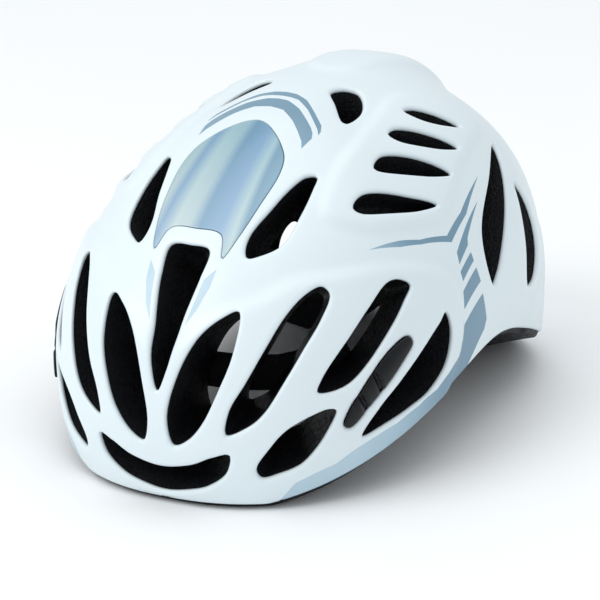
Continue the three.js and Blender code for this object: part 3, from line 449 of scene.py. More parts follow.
class Builder:
    """Collects points, faces and a material number for each face."""

    def __init__(self):
        self.points = []
        self.faces = []
        self.slots = []

    def add(self, points, faces, slot=0):
        start = len(self.points)
        self.points.extend(np.asarray(points))
        self.faces.extend([tuple(int(start + i) for i in face) for face in faces])
        self.slots.extend([slot] * len(faces) if np.isscalar(slot) else list(slot))
        return start

    def wall(self, rings):
        """Quads between closed loops of the same length."""
        count = len(rings[0])
        start = self.add(np.vstack(rings), [])
        for r in range(len(rings) - 1):
            below = start + r * count
            above = below + count
            for i in range(count):
                j = (i + 1) % count
                self.faces.append((below + i, below + j, above + j, above + i))
                self.slots.append(0)

    def fan(self, ring):
        """Closes the ring that was added last with triangles about its middle."""
        middle = self.add([ring.mean(axis=0)], [])
        for a, b in loop_edges(middle - len(ring), len(ring)):
            self.faces.append((a, b, middle))
            self.slots.append(0)

    def build(self, name, materials, weld=0.02):
        obj = mesh_object(name, self.points, self.faces)
        for material in materials:
            obj.data.materials.append(material)
        obj.data.polygons.foreach_set("material_index", self.slots)
        work = bmesh.new()
        work.from_mesh(obj.data)
        loose = [vertex for vertex in work.verts if not vertex.link_faces]
        bmesh.ops.delete(work, geom=loose, context="VERTS")
        if weld:
            bmesh.ops.remove_doubles(work, verts=work.verts, dist=weld * MM)
        bmesh.ops.recalc_face_normals(work, faces=work.faces)
        work.to_mesh(obj.data)
        work.free()
        obj.data.shade_smooth()
        return obj


# -------- materials


class Shader:
    """A Principled material with helpers for its nodes."""

    def __init__(self, name, roughness, metallic=0.0, coat=0.0, coat_roughness=0.1, sheen=0.0, specular=0.5):
        self.material = bpy.data.materials.new(name)
        self.material.use_nodes = True
        self.tree = self.material.node_tree
        self.main = self.tree.nodes["Principled BSDF"]
        looks = {"Base Color": (0.8, 0.8, 0.8, 1), "Roughness": roughness, "Metallic": metallic,
                 "Coat Weight": coat, "Coat Roughness": coat_roughness, "Sheen Weight": sheen,
                 "Specular IOR Level": specular}
        for socket, value in looks.items():
            self.main.inputs[socket].default_value = value
        self.place = self.node("ShaderNodeTexCoord").outputs["Object"]
        self.height = None

    def node(self, kind, **values):
        made = self.tree.nodes.new(kind)
        for key, value in values.items():
            if hasattr(made, key):
                setattr(made, key, value)
            else:
                made.inputs[key.replace("_", " ")].default_value = value
        return made

    def link(self, a, b):
        self.tree.links.new(a, b)

    def axes(self):
        """The X, Y and Z of a place on the object."""
        made = self.node("ShaderNodeSeparateXYZ")
        self.link(self.place, made.inputs["Vector"])
        return made.outputs

    def noise(self, scale, detail, stretch=None):
        made = self.node("ShaderNodeTexNoise", Scale=scale, Detail=detail, Roughness=0.55)
        source = self.place
        if stretch is not None:
            mapping = self.node("ShaderNodeMapping", Scale=stretch)
            self.link(self.place, mapping.inputs["Vector"])
            source = mapping.outputs["Vector"]
        self.link(source, made.inputs["Vector"])
        return made.outputs["Fac"]

    def cells(self, scale, feature="F1", output="Distance"):
        made = self.node("ShaderNodeTexVoronoi", feature=feature, Scale=scale)
        self.link(self.place, made.inputs["Vector"])
        return made.outputs[output]

    def math(self, operation, a, b=None):
        made = self.node("ShaderNodeMath", operation=operation)
        for socket, value in zip(made.inputs, (a, b)):
            if value is None:
                continue
            if hasattr(value, "links"):
                self.link(value, socket)
            else:
                socket.default_value = value
        return made.outputs[0]

    def ramp(self, value, stops):
        made = self.node("ShaderNodeValToRGB")
        ramp = made.color_ramp
        while len(ramp.elements) < len(stops):
            ramp.elements.new(0.5)
        for element, (position, color) in zip(ramp.elements, stops):
            element.position = position
            element.color = (*color, 1)
        self.link(value, made.inputs["Fac"])
        return made.outputs["Color"]

    def spread(self, value, low, high, start=0.3, end=0.7):
        """A value between two numbers."""
        made = self.node("ShaderNodeMapRange")
        for key, number in (("From Min", start), ("From Max", end), ("To Min", low), ("To Max", high)):
            made.inputs[key].default_value = number
        self.link(value, made.inputs["Value"])
        return made.outputs["Result"]

    def color(self, output):
        self.link(output, self.main.inputs["Base Color"])

    def rough(self, output):
        self.link(output, self.main.inputs["Roughness"])

    def bump(self, height, strength, distance):
        made = self.node("ShaderNodeBump", Strength=strength, Distance=distance)
        self.link(height, made.inputs["Height"])
        if self.height is not None:
            self.link(self.height, made.inputs["Normal"])
        self.height = made.outputs["Normal"]
        self.link(self.height, self.main.inputs["Normal"])


def sprayed(made, low, high):
    """The slight orange peel of sprayed paint, between two roughnesses."""
    made.rough(made.spread(made.noise(160, 3), low, high))
    made.bump(made.noise(900, 2), 0.05, 0.0002)
    made.bump(made.noise(45, 1), 0.03, 0.002)
    return made.material


def white_paint():
    made = Shader("shell_white", roughness=0.36, coat=0.2, coat_roughness=0.22)
    made.color(made.ramp(made.noise(9, 2), [(0.3, (0.738, 0.828, 0.863)), (0.7, (0.75, 0.84, 0.875))]))
    return sprayed(made, 0.32, 0.41)


def bead_foam():
    made = Shader("foam", roughness=0.5, specular=0.16)
    bead = made.cells(420)
    edge = made.cells(420, "DISTANCE_TO_EDGE")
    tone = made.cells(420, "F1", "Color")
    # painted shade: the colour darkens towards each bead's edge, in the crevices between beads
    rounded = made.spread(edge, 0.55, 1.0, 0.0, 0.12)
    shade = made.math("MULTIPLY", rounded, made.spread(tone, 0.7, 1.35, 0, 1))
    grain = made.math("MULTIPLY", shade, made.spread(made.noise(700, 3), 0.75, 1.25))
    made.color(made.ramp(grain, [(0.2, (0.0012, 0.0013, 0.0016)), (0.9, (0.011, 0.012, 0.0145))]))
    made.rough(made.spread(made.noise(260, 2), 0.42, 0.62))
    made.bump(made.spread(edge, 0, 1, 0, 0.14), 0.55, 0.0006)
    made.bump(bead, 0.25, 0.0004)
    made.bump(made.noise(1400, 2), 0.12, 0.0002)
    return made.material


def moulded(name, base, roughness):
    made = Shader(name, roughness=roughness, specular=0.22)
    lift = tuple(c * 1.5 + 0.002 for c in base)
    made.color(made.ramp(made.noise(60, 4), [(0.3, base), (0.72, lift)]))
    made.rough(made.spread(made.noise(220, 3), roughness - 0.06, roughness + 0.08))
    made.bump(made.noise(2400, 2), 0.18, 0.00012)
    made.bump(made.cells(1500), 0.08, 0.0001)
    return made.material


def print_and_painted_shade():
    """Grey-blue print that pales towards the front of the helmet; its darkening towards the rear is partly
    painted shade of the shaded rear side and lower edge.
    """
    made = Shader("print_grey_and_painted_shade", roughness=0.34, coat=0.2, coat_roughness=0.22)
    shade_drift = made.math("ADD", made.axes()["Y"], made.math("MULTIPLY", made.noise(14, 2), 0.012))
    # the print's own colour, darkened towards the rear with painted shade
    made.color(made.ramp(made.spread(shade_drift, 0, 1, -0.098, -0.03), [
        (0.0, (0.48, 0.63, 0.72)), (0.3, (0.40, 0.56, 0.66)), (0.75, (0.19, 0.325, 0.43)),
        (1.0, (0.155, 0.285, 0.385))]))
    return sprayed(made, 0.30, 0.39)


WHITE = white_paint()
PRINT_AND_SHADE = print_and_painted_shade()
FOAM = bead_foam()
BLACK = moulded("black_plastic", (0.004, 0.0043, 0.005), 0.4)
GREY = moulded("grey_nylon", (0.011, 0.012, 0.0135), 0.45)


def panel_material():
    """Silver-blue film under a gloss coat, with streaks that run along the panel; its lighter streaks and
    its brightening towards the front are partly painted reflection.
    """
    made = Shader("panel_film", roughness=0.34, coat=0.35, coat_roughness=0.08)
    axes = made.axes()
    # the streaks, film pattern and partly painted reflection, fan out from a point behind the panel
    ahead = made.math("ADD", made.math("MULTIPLY", axes["Y"], -0.10), 0.0155)
    across = made.spread(made.math("DIVIDE", axes["X"], ahead), 0, 1, -1.25, 1.25)
    streaks_and_reflection = made.ramp(across, [
        (0.03, (0.36, 0.52, 0.56)), (0.15, (0.44, 0.56, 0.60)), (0.22, (0.24, 0.38, 0.56)),
        (0.33, (0.46, 0.60, 0.64)), (0.44, (0.42, 0.55, 0.61)), (0.52, (0.20, 0.35, 0.50)),
        (0.68, (0.26, 0.41, 0.60)), (0.775, (0.45, 0.60, 0.65)), (0.83, (0.22, 0.37, 0.50)),
        (0.95, (0.30, 0.46, 0.59))])
    # partly painted reflection: the film lighter towards the front and darker towards the rear
    fade = made.ramp(made.spread(axes["Y"], 0, 1, -0.115, -0.048), [
        (0.1, (1.15, 1.08, 1.02)), (0.9, (0.62, 0.76, 0.79))])
    mixed = made.node("ShaderNodeMix", data_type="RGBA", blend_type="MULTIPLY")
    # of the node's sockets, these are the ones that carry colours
    factor, first, second, result = mixed.inputs[0], mixed.inputs[6], mixed.inputs[7], mixed.outputs[2]
    factor.default_value = 1.0
    made.link(streaks_and_reflection, first)
    made.link(fade, second)
    made.color(result)
    made.rough(made.spread(made.noise(240, 3), 0.30, 0.40))
    made.bump(made.noise(1800, 2), 0.05, 0.0001)
    return made.material


FILM = panel_material()

# -------- the shell, panel and liner

OUTLINE_STEP = 0.7
GRID = 1.1
VENT_LIP = (1.0, 1.5)
PANEL_LIP = (0.35, 0.5)
RIM_LIP = (0.9, 1.3)
SHELL_FOOT = 2.2
LINER_LIP = 2.5
GILL_DEPTH = 15
INSERT_DEPTH = 7


def smooth_loop(outline):
    return counter_clockwise(smooth_outline(outline, OUTLINE_STEP))


vents = [smooth_loop(CENTRE_VENT), smooth_loop(SMILE_VENT)]
vents += [smooth_loop(side) for vent in THROUGH_VENTS.values() for side in both_sides(vent)]
gills = [smooth_loop(side) for gill in GILLS for side in both_sides(gill)]
sockets = [smooth_loop(side) for side in both_sides(INSERT)]
panel_edge = [smooth_loop(PANEL)]
marks = [straight_outline(mark, OUTLINE_STEP) for mark in CHEVRONS]
marks += [straight_outline(side, OUTLINE_STEP) for band in BANDS for side in both_sides(band)]

RIM_COUNT = 420


def at_depth(loop, depth):
    return place(loop, outer_radius(loop) - depth)


def build_shell():
    rim = counter_clockwise(rim_loop(outer_radius, lambda z: np.maximum(SHELL_FOOT, z)))
    holes = vents + gills + sockets + panel_edge
    lips = [VENT_LIP] * (len(holes) - 1) + [PANEL_LIP]
    sheet = Sheet(rim, RIM_LIP, holes, lips, marks, GRID)
    made = Builder()
    # faces under the marks take the print colour, which on the rim band is partly painted shade
    print_and_shade = np.zeros(len(sheet.faces), bool)
    for mark in marks:
        print_and_shade |= inside(sheet.middle, mark)
    made.add(place(sheet.flat, outer_radius(sheet.flat) - sheet.depth), sheet.faces, print_and_shade.astype(int))
    for hole in vents + gills + sockets:
        made.wall([at_depth(hole, VENT_LIP[1]), at_depth(hole, VENT_LIP[1] + 0.7),
                   at_depth(outward(hole, 0.3), VENT_LIP[1] + 0.9)])
    for hole in panel_edge:
        made.wall([at_depth(hole, PANEL_LIP[1]), at_depth(hole, 1.6)])
    lifted = rim * (1 - 0.8 / np.linalg.norm(rim, axis=1, keepdims=True))
    made.wall([at_depth(rim, RIM_LIP[1]), at_depth(rim, RIM_LIP[1] + 0.6), at_depth(lifted, 2.0)])
    return made.build("shell", [WHITE, PRINT_AND_SHADE])


def build_panel():
    loop = counter_clockwise(outward(panel_edge[0], -0.14))
    sheet = Sheet(loop, (0.3, 0.4), [], [], [], GRID)
    made = Builder()
    made.add(place(sheet.flat, outer_radius(sheet.flat) - sheet.depth - 0.05), sheet.faces)
    made.wall([at_depth(loop, 0.45), at_depth(loop, 1.4)])
    return made.build("panel", [FILM])


def liner_foot(height):
    return np.maximum(0, height - LINER_LIP)


def build_liner():
    shell_rim = rim_loop(outer_radius, lambda z: np.maximum(SHELL_FOOT, z) + 0.6)
    foot = rim_loop(lambda p: outer_radius(p) - 2.6, lambda z: liner_foot(z) + 0.8)
    sole_out = rim_loop(lambda p: outer_radius(p) - 3.6, liner_foot)
    sole_in = rim_loop(lambda p: cavity_radius(p) + 1.8, liner_foot)
    edge = rim_loop(cavity_radius, lambda z: liner_foot(z) + 1.6)
    made = Builder()
    made.wall([at_depth(shell_rim, 1.7), at_depth(foot, 2.6), at_depth(sole_out, 3.6),
               place(sole_in, cavity_radius(sole_in) + 1.8), place(edge, cavity_radius(edge))])
    sheet = Sheet(counter_clockwise(edge), (0.8, 0.0), vents, [(0.9, -1.6)] * len(vents), [], GRID * 1.5)
    made.add(place(sheet.flat, cavity_radius(sheet.flat) - sheet.depth), sheet.faces)
    for hole in vents:
        wide = outward(hole, 0.22)
        top = outer_radius(wide) - VENT_LIP[1] - 0.8
        low = cavity_radius(hole) + 1.6
        rings = []
        for t in (0, 0.04, 0.2, 0.4, 0.6, 0.8, 1.0):
            loop = wide + (hole - wide) * t
            rings.append(place(loop, top + (low - top) * t))
        made.wall(rings)
    for hole in gills:
        wide = outward(hole, 0.22)
        rings = []
        for t, inset in ((0, 0), (0.5, 0.0), (0.85, 0.25), (1.0, 0.9)):
            loop = outward(wide, -inset)
            rings.append(place(loop, outer_radius(loop) - VENT_LIP[1] - 0.8 - t * (GILL_DEPTH - 3)))
        made.wall(rings)
        made.fan(rings[-1])
    for hole in sockets:
        rings = [at_depth(hole, VENT_LIP[1] + 0.5), at_depth(hole, INSERT_DEPTH)]
        made.wall(rings)
        made.fan(rings[-1])
    return made.build("liner", [FOAM])


shell = build_shell()
panel = build_panel()
liner = build_liner()
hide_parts("outer_shell")
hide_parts("crown_panel")
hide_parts("foam_liner")
for piece in (shell, panel, liner):
    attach(piece, "helmet")

# -------- side inserts and cradle

INSERT_NOTCHES = [(66.5, 56.0), (72.0, 53.0)]
INSERT_MIDDLE = [(52.5, 59), (58, 57.6), (65, 55), (72, 52.3), (78, 50)]
INSERT_THICK = 5.5
CRADLE_EDGE = crossing([(-90.6, 0), (-90.4, 9), (-86.5, 20), (-80.6, 34.4), (-82, 40.5), (-88.6, 45.8),
                        (-95.4, 45.6), (-100, 36), (-104.4, 22), (-106.4, 8), (-106.6, 0)])
CRADLE = dict(offset=9.0, thick=2.4)
CRADLE_HOLE = [(-91.6, 14), (-88.6, 24), (-84.8, 33.6), (-86.6, 38.8), (-90.6, 39.4), (-94.2, 30),
               (-97.2, 18), (-95.6, 12.6)]


def insert_height(points):
    """The insert's crowned surface with its two snap grooves, over the shell, in mm."""
    left_points = folded(points)
    crown = 1.3 - 0.14 * curve_distance(left_points, INSERT_MIDDLE) ** 2
    for forward, left in INSERT_NOTCHES:
        groove = [(forward - 1.6, left - 3.6), (forward + 0.9, left + 4.4)]
        crown -= 2.2 * (1 - smooth_step(curve_distance(left_points, groove), 0.3, 1.0))
    between = smooth_step(points[:, 0], 66.4, 66.8) * (1 - smooth_step(points[:, 0], 71.6, 72.0))
    return crown - 0.5 * between


def plate(name, loops, top, thick, material, grid, lip):
    """A thin part over the bearing plane: its top, its walls and its underside."""
    edge, holes = loops[0], loops[1:]
    sheet = Sheet(edge, lip, holes, [lip] * len(holes), [], grid)
    made = Builder()
    radius = top(sheet.flat)
    made.add(place(sheet.flat, radius - sheet.depth), sheet.faces)
    made.add(place(sheet.flat, radius - thick + sheet.depth), sheet.faces)
    for loop in loops:
        made.wall([place(loop, top(loop) - lip[1]), place(loop, top(loop) - thick + lip[1])])
    return made.build(name, [material])


def insert_top(points):
    return outer_radius(points) + np.maximum(insert_height(points), -2.0)


def cradle_top(points):
    return dome_radius(bearing(points), CAVITY) - CRADLE["offset"]


def build_insert(name, outline):
    loop = counter_clockwise(outward(smooth_loop(outline), -0.12))
    return plate(name, [loop], insert_top, INSERT_THICK, SATIN, GRID * 0.5, (0.5, 0.7))


def build_cradle():
    outlines = [CRADLE_EDGE, *both_sides(CRADLE_HOLE)]
    loops = [smooth_loop(outline) for outline in outlines]
    return plate("head_cradle", loops, cradle_top, CRADLE["thick"], BLACK, GRID, (0.4, 0.5))


# -------- strips along the head cavity


def spline(points, at):
    """Points on an open centripetal Catmull-Rom curve."""
    points = np.asarray(points, float)
    chain = np.vstack([2 * points[0] - points[1], points, 2 * points[-1] - points[-2]])
    result = []
    for t in np.clip(at, 0, 1) * (len(points) - 1):
        k = min(int(t), len(points) - 2)
        p0, p1, p2, p3 = chain[k:k + 4]
        m1, m2 = tangents(p0, p1, p2, p3)
        result.append(hermite(p1, m1, p2, m2, t - k))
    return np.array(result)


def unit(vectors):
    return vectors / np.linalg.norm(vectors, axis=-1, keepdims=True)


class Lane:
    """A lane along the inside of the cavity, through points [forward, left, extra distance in mm]."""

    def __init__(self, path, offset):
        self.path = [(*point, 0)[:3] for point in path]
        self.offset = offset

    def centre(self, at):
        points = spline(self.path, at)
        direction = bearing(points)
        radius = dome_radius(direction, CAVITY) - self.offset - points[:, 2]
        return HUB + direction * radius[:, None]

    def point(self, at, side, depth):
        at = np.asarray(at, float)
        middle = self.centre(at)
        along = unit(self.centre(at + 0.01) - self.centre(at - 0.01))
        across = unit(np.cross(along, middle - HUB))
        direction = unit(middle + across * np.asarray(side)[:, None] - HUB)
        lift = self.offset + spline(self.path, at)[:, 2]
        return HUB + direction * (dome_radius(direction, CAVITY) - lift - depth)[:, None]

    def length(self):
        middle = self.centre(np.linspace(0, 1, 60))
        return np.linalg.norm(np.diff(middle, axis=0), axis=1).sum()


def loft(rings):
    """A closed tube through rings of points, with its ends closed."""
    made = Builder()
    made.wall(rings)
    count = len(rings[0])
    last = (len(rings) - 1) * count
    made.faces.append(tuple(range(count))[::-1])
    made.faces.append(tuple(range(last, last + count)))
    made.slots += [0, 0]
    return made


STRAP = dict(offset=1.2, thick=1.6, half=7.5)
BELT = dict(offset=4, thick=1.6, half=4.4)
STRAP_EDGE = [(-1, 0.5), (-0.985, 0.12), (-0.93, 0), (-0.82, 0.06), (-0.5, 0), (0, 0.05), (0.5, 0),
              (0.82, 0.06), (0.93, 0), (0.985, 0.12), (1, 0.5), (0.985, 0.88), (0.93, 1), (0.82, 0.94),
              (0.5, 1), (0, 0.95), (-0.5, 1), (-0.82, 0.94), (-0.93, 1), (-0.985, 0.88)]


def ribbon(name, path, shape, material, steps=44):
    """Flat webbing or a nylon band, with thicker woven edges, and its lane."""
    lane = Lane(path, shape["offset"])
    side, depth = (np.array(STRAP_EDGE) * (shape["half"], shape["thick"])).T
    rings = [lane.point(np.full(len(side), t), side, depth) for t in np.linspace(0, 1, steps)]
    return loft(rings).build(name, [material]), lane


def stitches(name, lane, half, depth, starts, material):
    """Box stitching: short raised threads in rows across the webbing."""
    made = Builder()
    length = lane.length()
    for start in starts:
        for row in range(5):
            for side in np.arange(-half + 1.6, half - 1.0, 2.2):
                at = start + row * 2.3 / length
                ends = [(at, side), (at + 0.5 / length, side + 1.5)]
                low, high = (lane.point([t], [s], depth)[0] for t, s in ends)
                along = unit(high - low)
                out = unit(HUB - low)
                wide = np.cross(along, out)
                rings = []
                for step, size in ((0, 0.1), (0.2, 0.32), (0.8, 0.32), (1, 0.1)):
                    middle = low + (high - low) * step
                    rings.append([middle + wide * size * math.cos(a) + out * size * math.sin(a)
                                  for a in np.linspace(0, 2 * math.pi, 6, endpoint=False)])
                made.wall([np.array(ring) for ring in rings])
    return made.build(name, [material], 0.001)


PAD_ROUND = 20
PAD_STEP = 2.4
PAD_END = 7.5
SEAM_HALF = 1.3
SWELL_CAP = 0.0016
CLOTH_FRAMES = 20


def pad_mesh(name, path, offset, thick, half, channels):
    """A pad whose edge seam, back and sewn channels are pinned, so that only the fabric between swells."""
    lane = Lane(path, offset)
    length = lane.length()
    steps = max(12, int(length / PAD_STEP))
    angles = np.linspace(0, 2 * math.pi, PAD_ROUND, endpoint=False)
    across = np.sign(np.cos(angles)) * np.abs(np.cos(angles)) ** 0.62
    above = np.sign(np.sin(angles)) * np.abs(np.sin(angles)) ** 0.75
    rings, pinned = [], []
    for k, t in enumerate(np.linspace(0, 1, steps)):
        from_end = min(t, 1 - t) * length
        rounding = (1 - (1 - min(from_end / PAD_END, 1)) ** 2.4) ** (1 / 2.4)
        width = max(half * rounding, 0.8)
        height = thick * (0.34 + 0.52 * rounding)
        seam = any(abs(t - at) * length < SEAM_HALF for at in channels)
        lift = height * (0.35 + 0.65 * (above + 1) / 2) if not seam else height * 0.35 + 0.3 * (above + 1)
        depth = np.where(above < 0, height * 0.35 * (above + 1), lift)
        rings.append(lane.point(np.full(PAD_ROUND, t), across * width, depth))
        edge = (above <= 0.02) | seam | (k in (0, steps - 1))
        pinned += [bool(value) for value in np.broadcast_to(edge, PAD_ROUND)]
    obj = loft(rings).build(name, [FABRIC], 0)
    group = obj.vertex_groups.new(name="seams")
    group.add([i for i, value in enumerate(pinned) if value], 1.0, "REPLACE")
    return obj


def swell(pads, cap):
    """Cloth under pressure in every pad at once; no point moves more than the cap, in metres."""
    scene = bpy.context.scene
    for pad in pads:
        cloth = pad.modifiers.new("cloth", "CLOTH")
        settings = cloth.settings
        settings.use_pressure = True
        settings.uniform_pressure_force = 4
        settings.effector_weights.gravity = 0
        settings.vertex_group_mass = "seams"
        settings.tension_stiffness = 6
        settings.compression_stiffness = 6
        settings.bending_stiffness = 0.2
        settings.quality = 6
        cloth.collision_settings.use_collision = False
        cloth.point_cache.frame_start = 1
        cloth.point_cache.frame_end = CLOTH_FRAMES
    for number in range(1, CLOTH_FRAMES + 1):
        scene.frame_set(number)
    graph = bpy.context.evaluated_depsgraph_get()
    for pad in pads:
        count = len(pad.data.vertices)
        rest = np.empty(count * 3)
        pad.data.vertices.foreach_get("co", rest)
        moved = np.empty(count * 3)
        result = pad.evaluated_get(graph).to_mesh()
        result.vertices.foreach_get("co", moved)
        pad.evaluated_get(graph).to_mesh_clear()
        step = (moved - rest).reshape(-1, 3)
        size = np.maximum(np.linalg.norm(step, axis=1, keepdims=True), 1e-12)
        step *= np.minimum(1, cap / size)
        pad.modifiers.clear()
        pad.data.vertices.foreach_set("co", (rest.reshape(-1, 3) + step).ravel())
        pad.data.update()
    scene.frame_set(1)


def finish_pad(pad):
    pad.vertex_groups.clear()
    smooth = pad.modifiers.new("smooth", "SUBSURF")
    smooth.levels = smooth.render_levels = 1


# -------- more materials


def fabric(name, base, scale):
    """A fine knit: small loops in rows, with a soft sheen; the colour is lighter in each loop's middle and
    darker at its edge, painted shade of the knit's relief.
    """
    made = Shader(name, roughness=0.9, sheen=0.06, specular=0.2)
    loops = made.cells(scale)
    light = tuple(c * 1.9 + 0.003 for c in base)
    wear = made.spread(made.noise(70, 3), 0.75, 1.2)
    # painted shade: lighter where the loops rise, darker between them
    tone = made.math("MULTIPLY", made.spread(loops, 1.0, 0.35, 0.1, 0.75), wear)
    made.color(made.ramp(tone, [(0.25, base), (0.95, light)]))
    made.rough(made.spread(made.noise(300, 2), 0.82, 0.96))
    made.bump(made.spread(loops, 1, 0, 0, 0.8), 0.6, 0.0005)
    made.bump(made.noise(2600, 2), 0.25, 0.0002)
    return made.material


def webbing(name, base):
    """Woven polyester: two crossing sets of yarns, coloured lighter on their crests and darker between them,
    painted shade of the weave's relief.
    """
    made = Shader(name, roughness=0.72, sheen=0.04, specular=0.25)
    axes = made.axes()
    yarns = []
    for key, other in (("Y", "Z"), ("Z", "X")):
        turned = made.math("ADD", made.math("MULTIPLY", axes[key], 5200.0),
                           made.math("MULTIPLY", axes[other], 3600.0))
        yarns.append(made.math("SINE", turned))
    weave = made.math("MULTIPLY", yarns[0], yarns[1])
    light = tuple(c * 1.8 + 0.003 for c in base)
    wear = made.spread(made.noise(120, 3), 0.8, 1.15)
    # painted shade: lighter on the yarn crests, darker between them
    tone = made.math("MULTIPLY", made.spread(weave, 0.3, 1.0, -1, 1), wear)
    made.color(made.ramp(tone, [(0.25, base), (0.9, light)]))
    made.rough(made.spread(made.noise(400, 2), 0.62, 0.8))
    made.bump(made.spread(weave, 0, 1, -1, 1), 0.5, 0.0003)
    made.bump(made.noise(2000, 2), 0.2, 0.0002)
    return made.material


def steel():
    made = Shader("steel", roughness=0.3, metallic=1.0)
    brushed = made.noise(500, 3, stretch=(1, 1, 8))
    made.color(made.ramp(brushed, [(0.3, (0.46, 0.47, 0.48)), (0.7, (0.62, 0.63, 0.64))]))
    made.rough(made.spread(brushed, 0.24, 0.42))
    made.bump(made.noise(1800, 2), 0.1, 0.0001)
    return made.material


FABRIC = fabric("pad_knit", (0.005, 0.0053, 0.0062), 1100)
WEBBING = webbing("strap_webbing", (0.005, 0.0053, 0.006))
THREAD = fabric("thread", (0.02, 0.021, 0.024), 2400)
STEEL = steel()
SATIN = moulded("insert_satin", (0.0035, 0.004, 0.0055), 0.36)

# -------- soft goods and fit system

# Each pad is a path, its distance from the cavity, thickness, half width and number of sewn channels.
PADS = {
    "brow_pad": ([(66, 52), (82, 28), (87, 0), (82, -28), (66, -52)], 2.0, 6.0, 9.0, 7),
    "crown_pad_front": ([(52, 0), (14, 0)], 1.3, 6.0, 11.0, 3),
    "crown_pad_rear": ([(-14, 0), (-40, 0)], 1.3, 6.0, 9.0, 2),
}
for name, sign in SIDES:
    PADS[f"crown_pad_front_{name}"] = ([(52, 27 * sign), (16, 29 * sign)], 1.3, 6.0, 9.0, 3)
    PADS[f"crown_pad_rear_{name}"] = ([(-14, 29 * sign), (-46, 27 * sign)], 1.3, 6.0, 9.0, 2)
    path = [(-98 * math.cos(turn), 98 * math.sin(turn) * sign) for turn in np.radians((4, 13, 24))]
    PADS[f"cradle_pad_{name}"] = (path, 11.8, 4.0, 12.0, 1)

pads = []
for node, (path, offset, thick, half, channels) in PADS.items():
    sewn = [(k + 1) / (channels + 1) for k in range(channels)]
    pads.append(pad_mesh(f"{node}_fabric", path, offset, thick, half - 0.4, sewn))
swell(pads, SWELL_CAP)
for pad, node in zip(pads, PADS):
    finish_pad(pad)
    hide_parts(node)
    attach(pad, "cradle" if node.startswith("cradle") else "helmet")

CHIN_STRAPS = {
    "left": [(0, 50, 2.6), (0, 42, 0.6), (0, 33, 1.2), (0, 21.8, 6.6)],
    "right": [(0, -50, 2.6), (0, -38, 0.4), (0, -24, 2.6), (0, -10.6, 8.6)],
}
STRAPS = {}
for name, sign in SIDES:
    STRAPS[f"front_strap_{name}"] = [(56, 66 * sign), (40, 64 * sign), (24, 61 * sign, 0.2),
                                     (15, 59 * sign, 2.6)]
    STRAPS[f"rear_strap_{name}"] = [(-52, 71 * sign), (-38, 67 * sign), (-22, 62 * sign, 0.2),
                                    (-16.8, 59 * sign, 2.6)]
    STRAPS[f"chin_strap_{name}"] = CHIN_STRAPS[name]
for node, path in STRAPS.items():
    strap, lane = ribbon(f"{node}_webbing", path, STRAP, WEBBING)
    thread = stitches(f"{node}_stitching", lane, STRAP["half"], STRAP["thick"], [0.06, 0.8], THREAD)
    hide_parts(node)
    for piece in (strap, thread):
        if node == "chin_strap_right":
            low, high = (lane.centre([t])[0] * MM for t in (0.35, 0.92))
            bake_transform(piece)
        else:
            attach(piece, "helmet")

for name, sign in SIDES:
    path = [(-40.2, 79.2 * sign, 0), (-56, 69 * sign, 0.6), (-72, 54 * sign, 2), (-83.5, 39.2 * sign, 3.4)]
    belt, lane = ribbon(f"fit_belt_{name}_band", path, BELT, GREY, 30)
    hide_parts(f"fit_belt_{name}")
    start, end = (lane.centre([t])[0] * MM for t in (0.1, 0.95))
    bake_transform(belt)

# The fit ring turns about this (y, z), and the strip is an arc about it.
PIN = (-9.77, 56.58)
LIFTER = dict(radius=102.7, thick=1.4, half=6.0, start=-4.0, end=24.0)


# Across the strip and through it, 1 being a half width or the thickness; a tooth sinks the middle.
LIFTER_EDGE = [(-1, 0.5, 0), (-0.96, 0.1, 0), (-0.9, 0, 0), (0.9, 0, 0), (0.96, 0.1, 0), (1, 0.5, 0),
               (0.96, 0.9, 0), (0.9, 1, 0), (0.5, 1, 0), (0.45, 1, 1), (-0.45, 1, 1), (-0.5, 1, 0),
               (-0.9, 1, 0), (-0.96, 0.9, 0)]


def build_height_strip():
    """The curved strip that holds the cradle, with a row of teeth."""
    rings = []
    for angle in np.linspace(LIFTER["start"], LIFTER["end"], 60):
        from_end = min(angle - LIFTER["start"], LIFTER["end"] - angle) * math.radians(1) * LIFTER["radius"]
        wide = max(LIFTER["half"] * (1 - (1 - min(from_end / 4, 1)) ** 2.2) ** 0.5, 2.0)
        tooth = 0.35 * max(0, math.sin(angle * 5.2)) ** 2
        turn = math.radians(angle)
        ring = []
        for side, depth, sunk in LIFTER_EDGE:
            reach = LIFTER["radius"] + LIFTER["thick"] * (0.5 - (depth - tooth * sunk))
            ring.append((side * wide, PIN[0] + reach * math.cos(turn), PIN[1] + reach * math.sin(turn)))
        rings.append(np.array(ring))
    return loft(rings).build("height_strip_band", [GREY])


height_strip = build_height_strip()
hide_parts("height_strip")
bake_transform(height_strip)

cradle = build_cradle()
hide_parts("cradle")
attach(cradle, "cradle")

for side, outline in zip(("left", "right"), both_sides(INSERT)):
    insert = build_insert(f"side_insert_{side}_cover", outline)
    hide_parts(f"side_insert_{side}")
    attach(insert, "helmet")

# -------- carried-over nodes

LOOKS = {"nylon": GREY, "steel": STEEL, "black_plastic": BLACK}
REPLACED = {"outer_shell", "crown_panel", "foam_liner", "height_strip", "cradle", "side_insert_left",
            "side_insert_right", "fit_belt_left", "fit_belt_right", *PADS, *STRAPS}
BEVEL = 0.35
BEVELS = {"dial_housing": 1.2, "dial_knob": 0.7, "drive_gear": 0.1, "dial_screw": 0.15, "click_spring": 0.2,
          "buckle_socket": 0.9, "buckle_plug": 0.6, "temple_anchor_left": 0.4, "temple_anchor_right": 0.4}

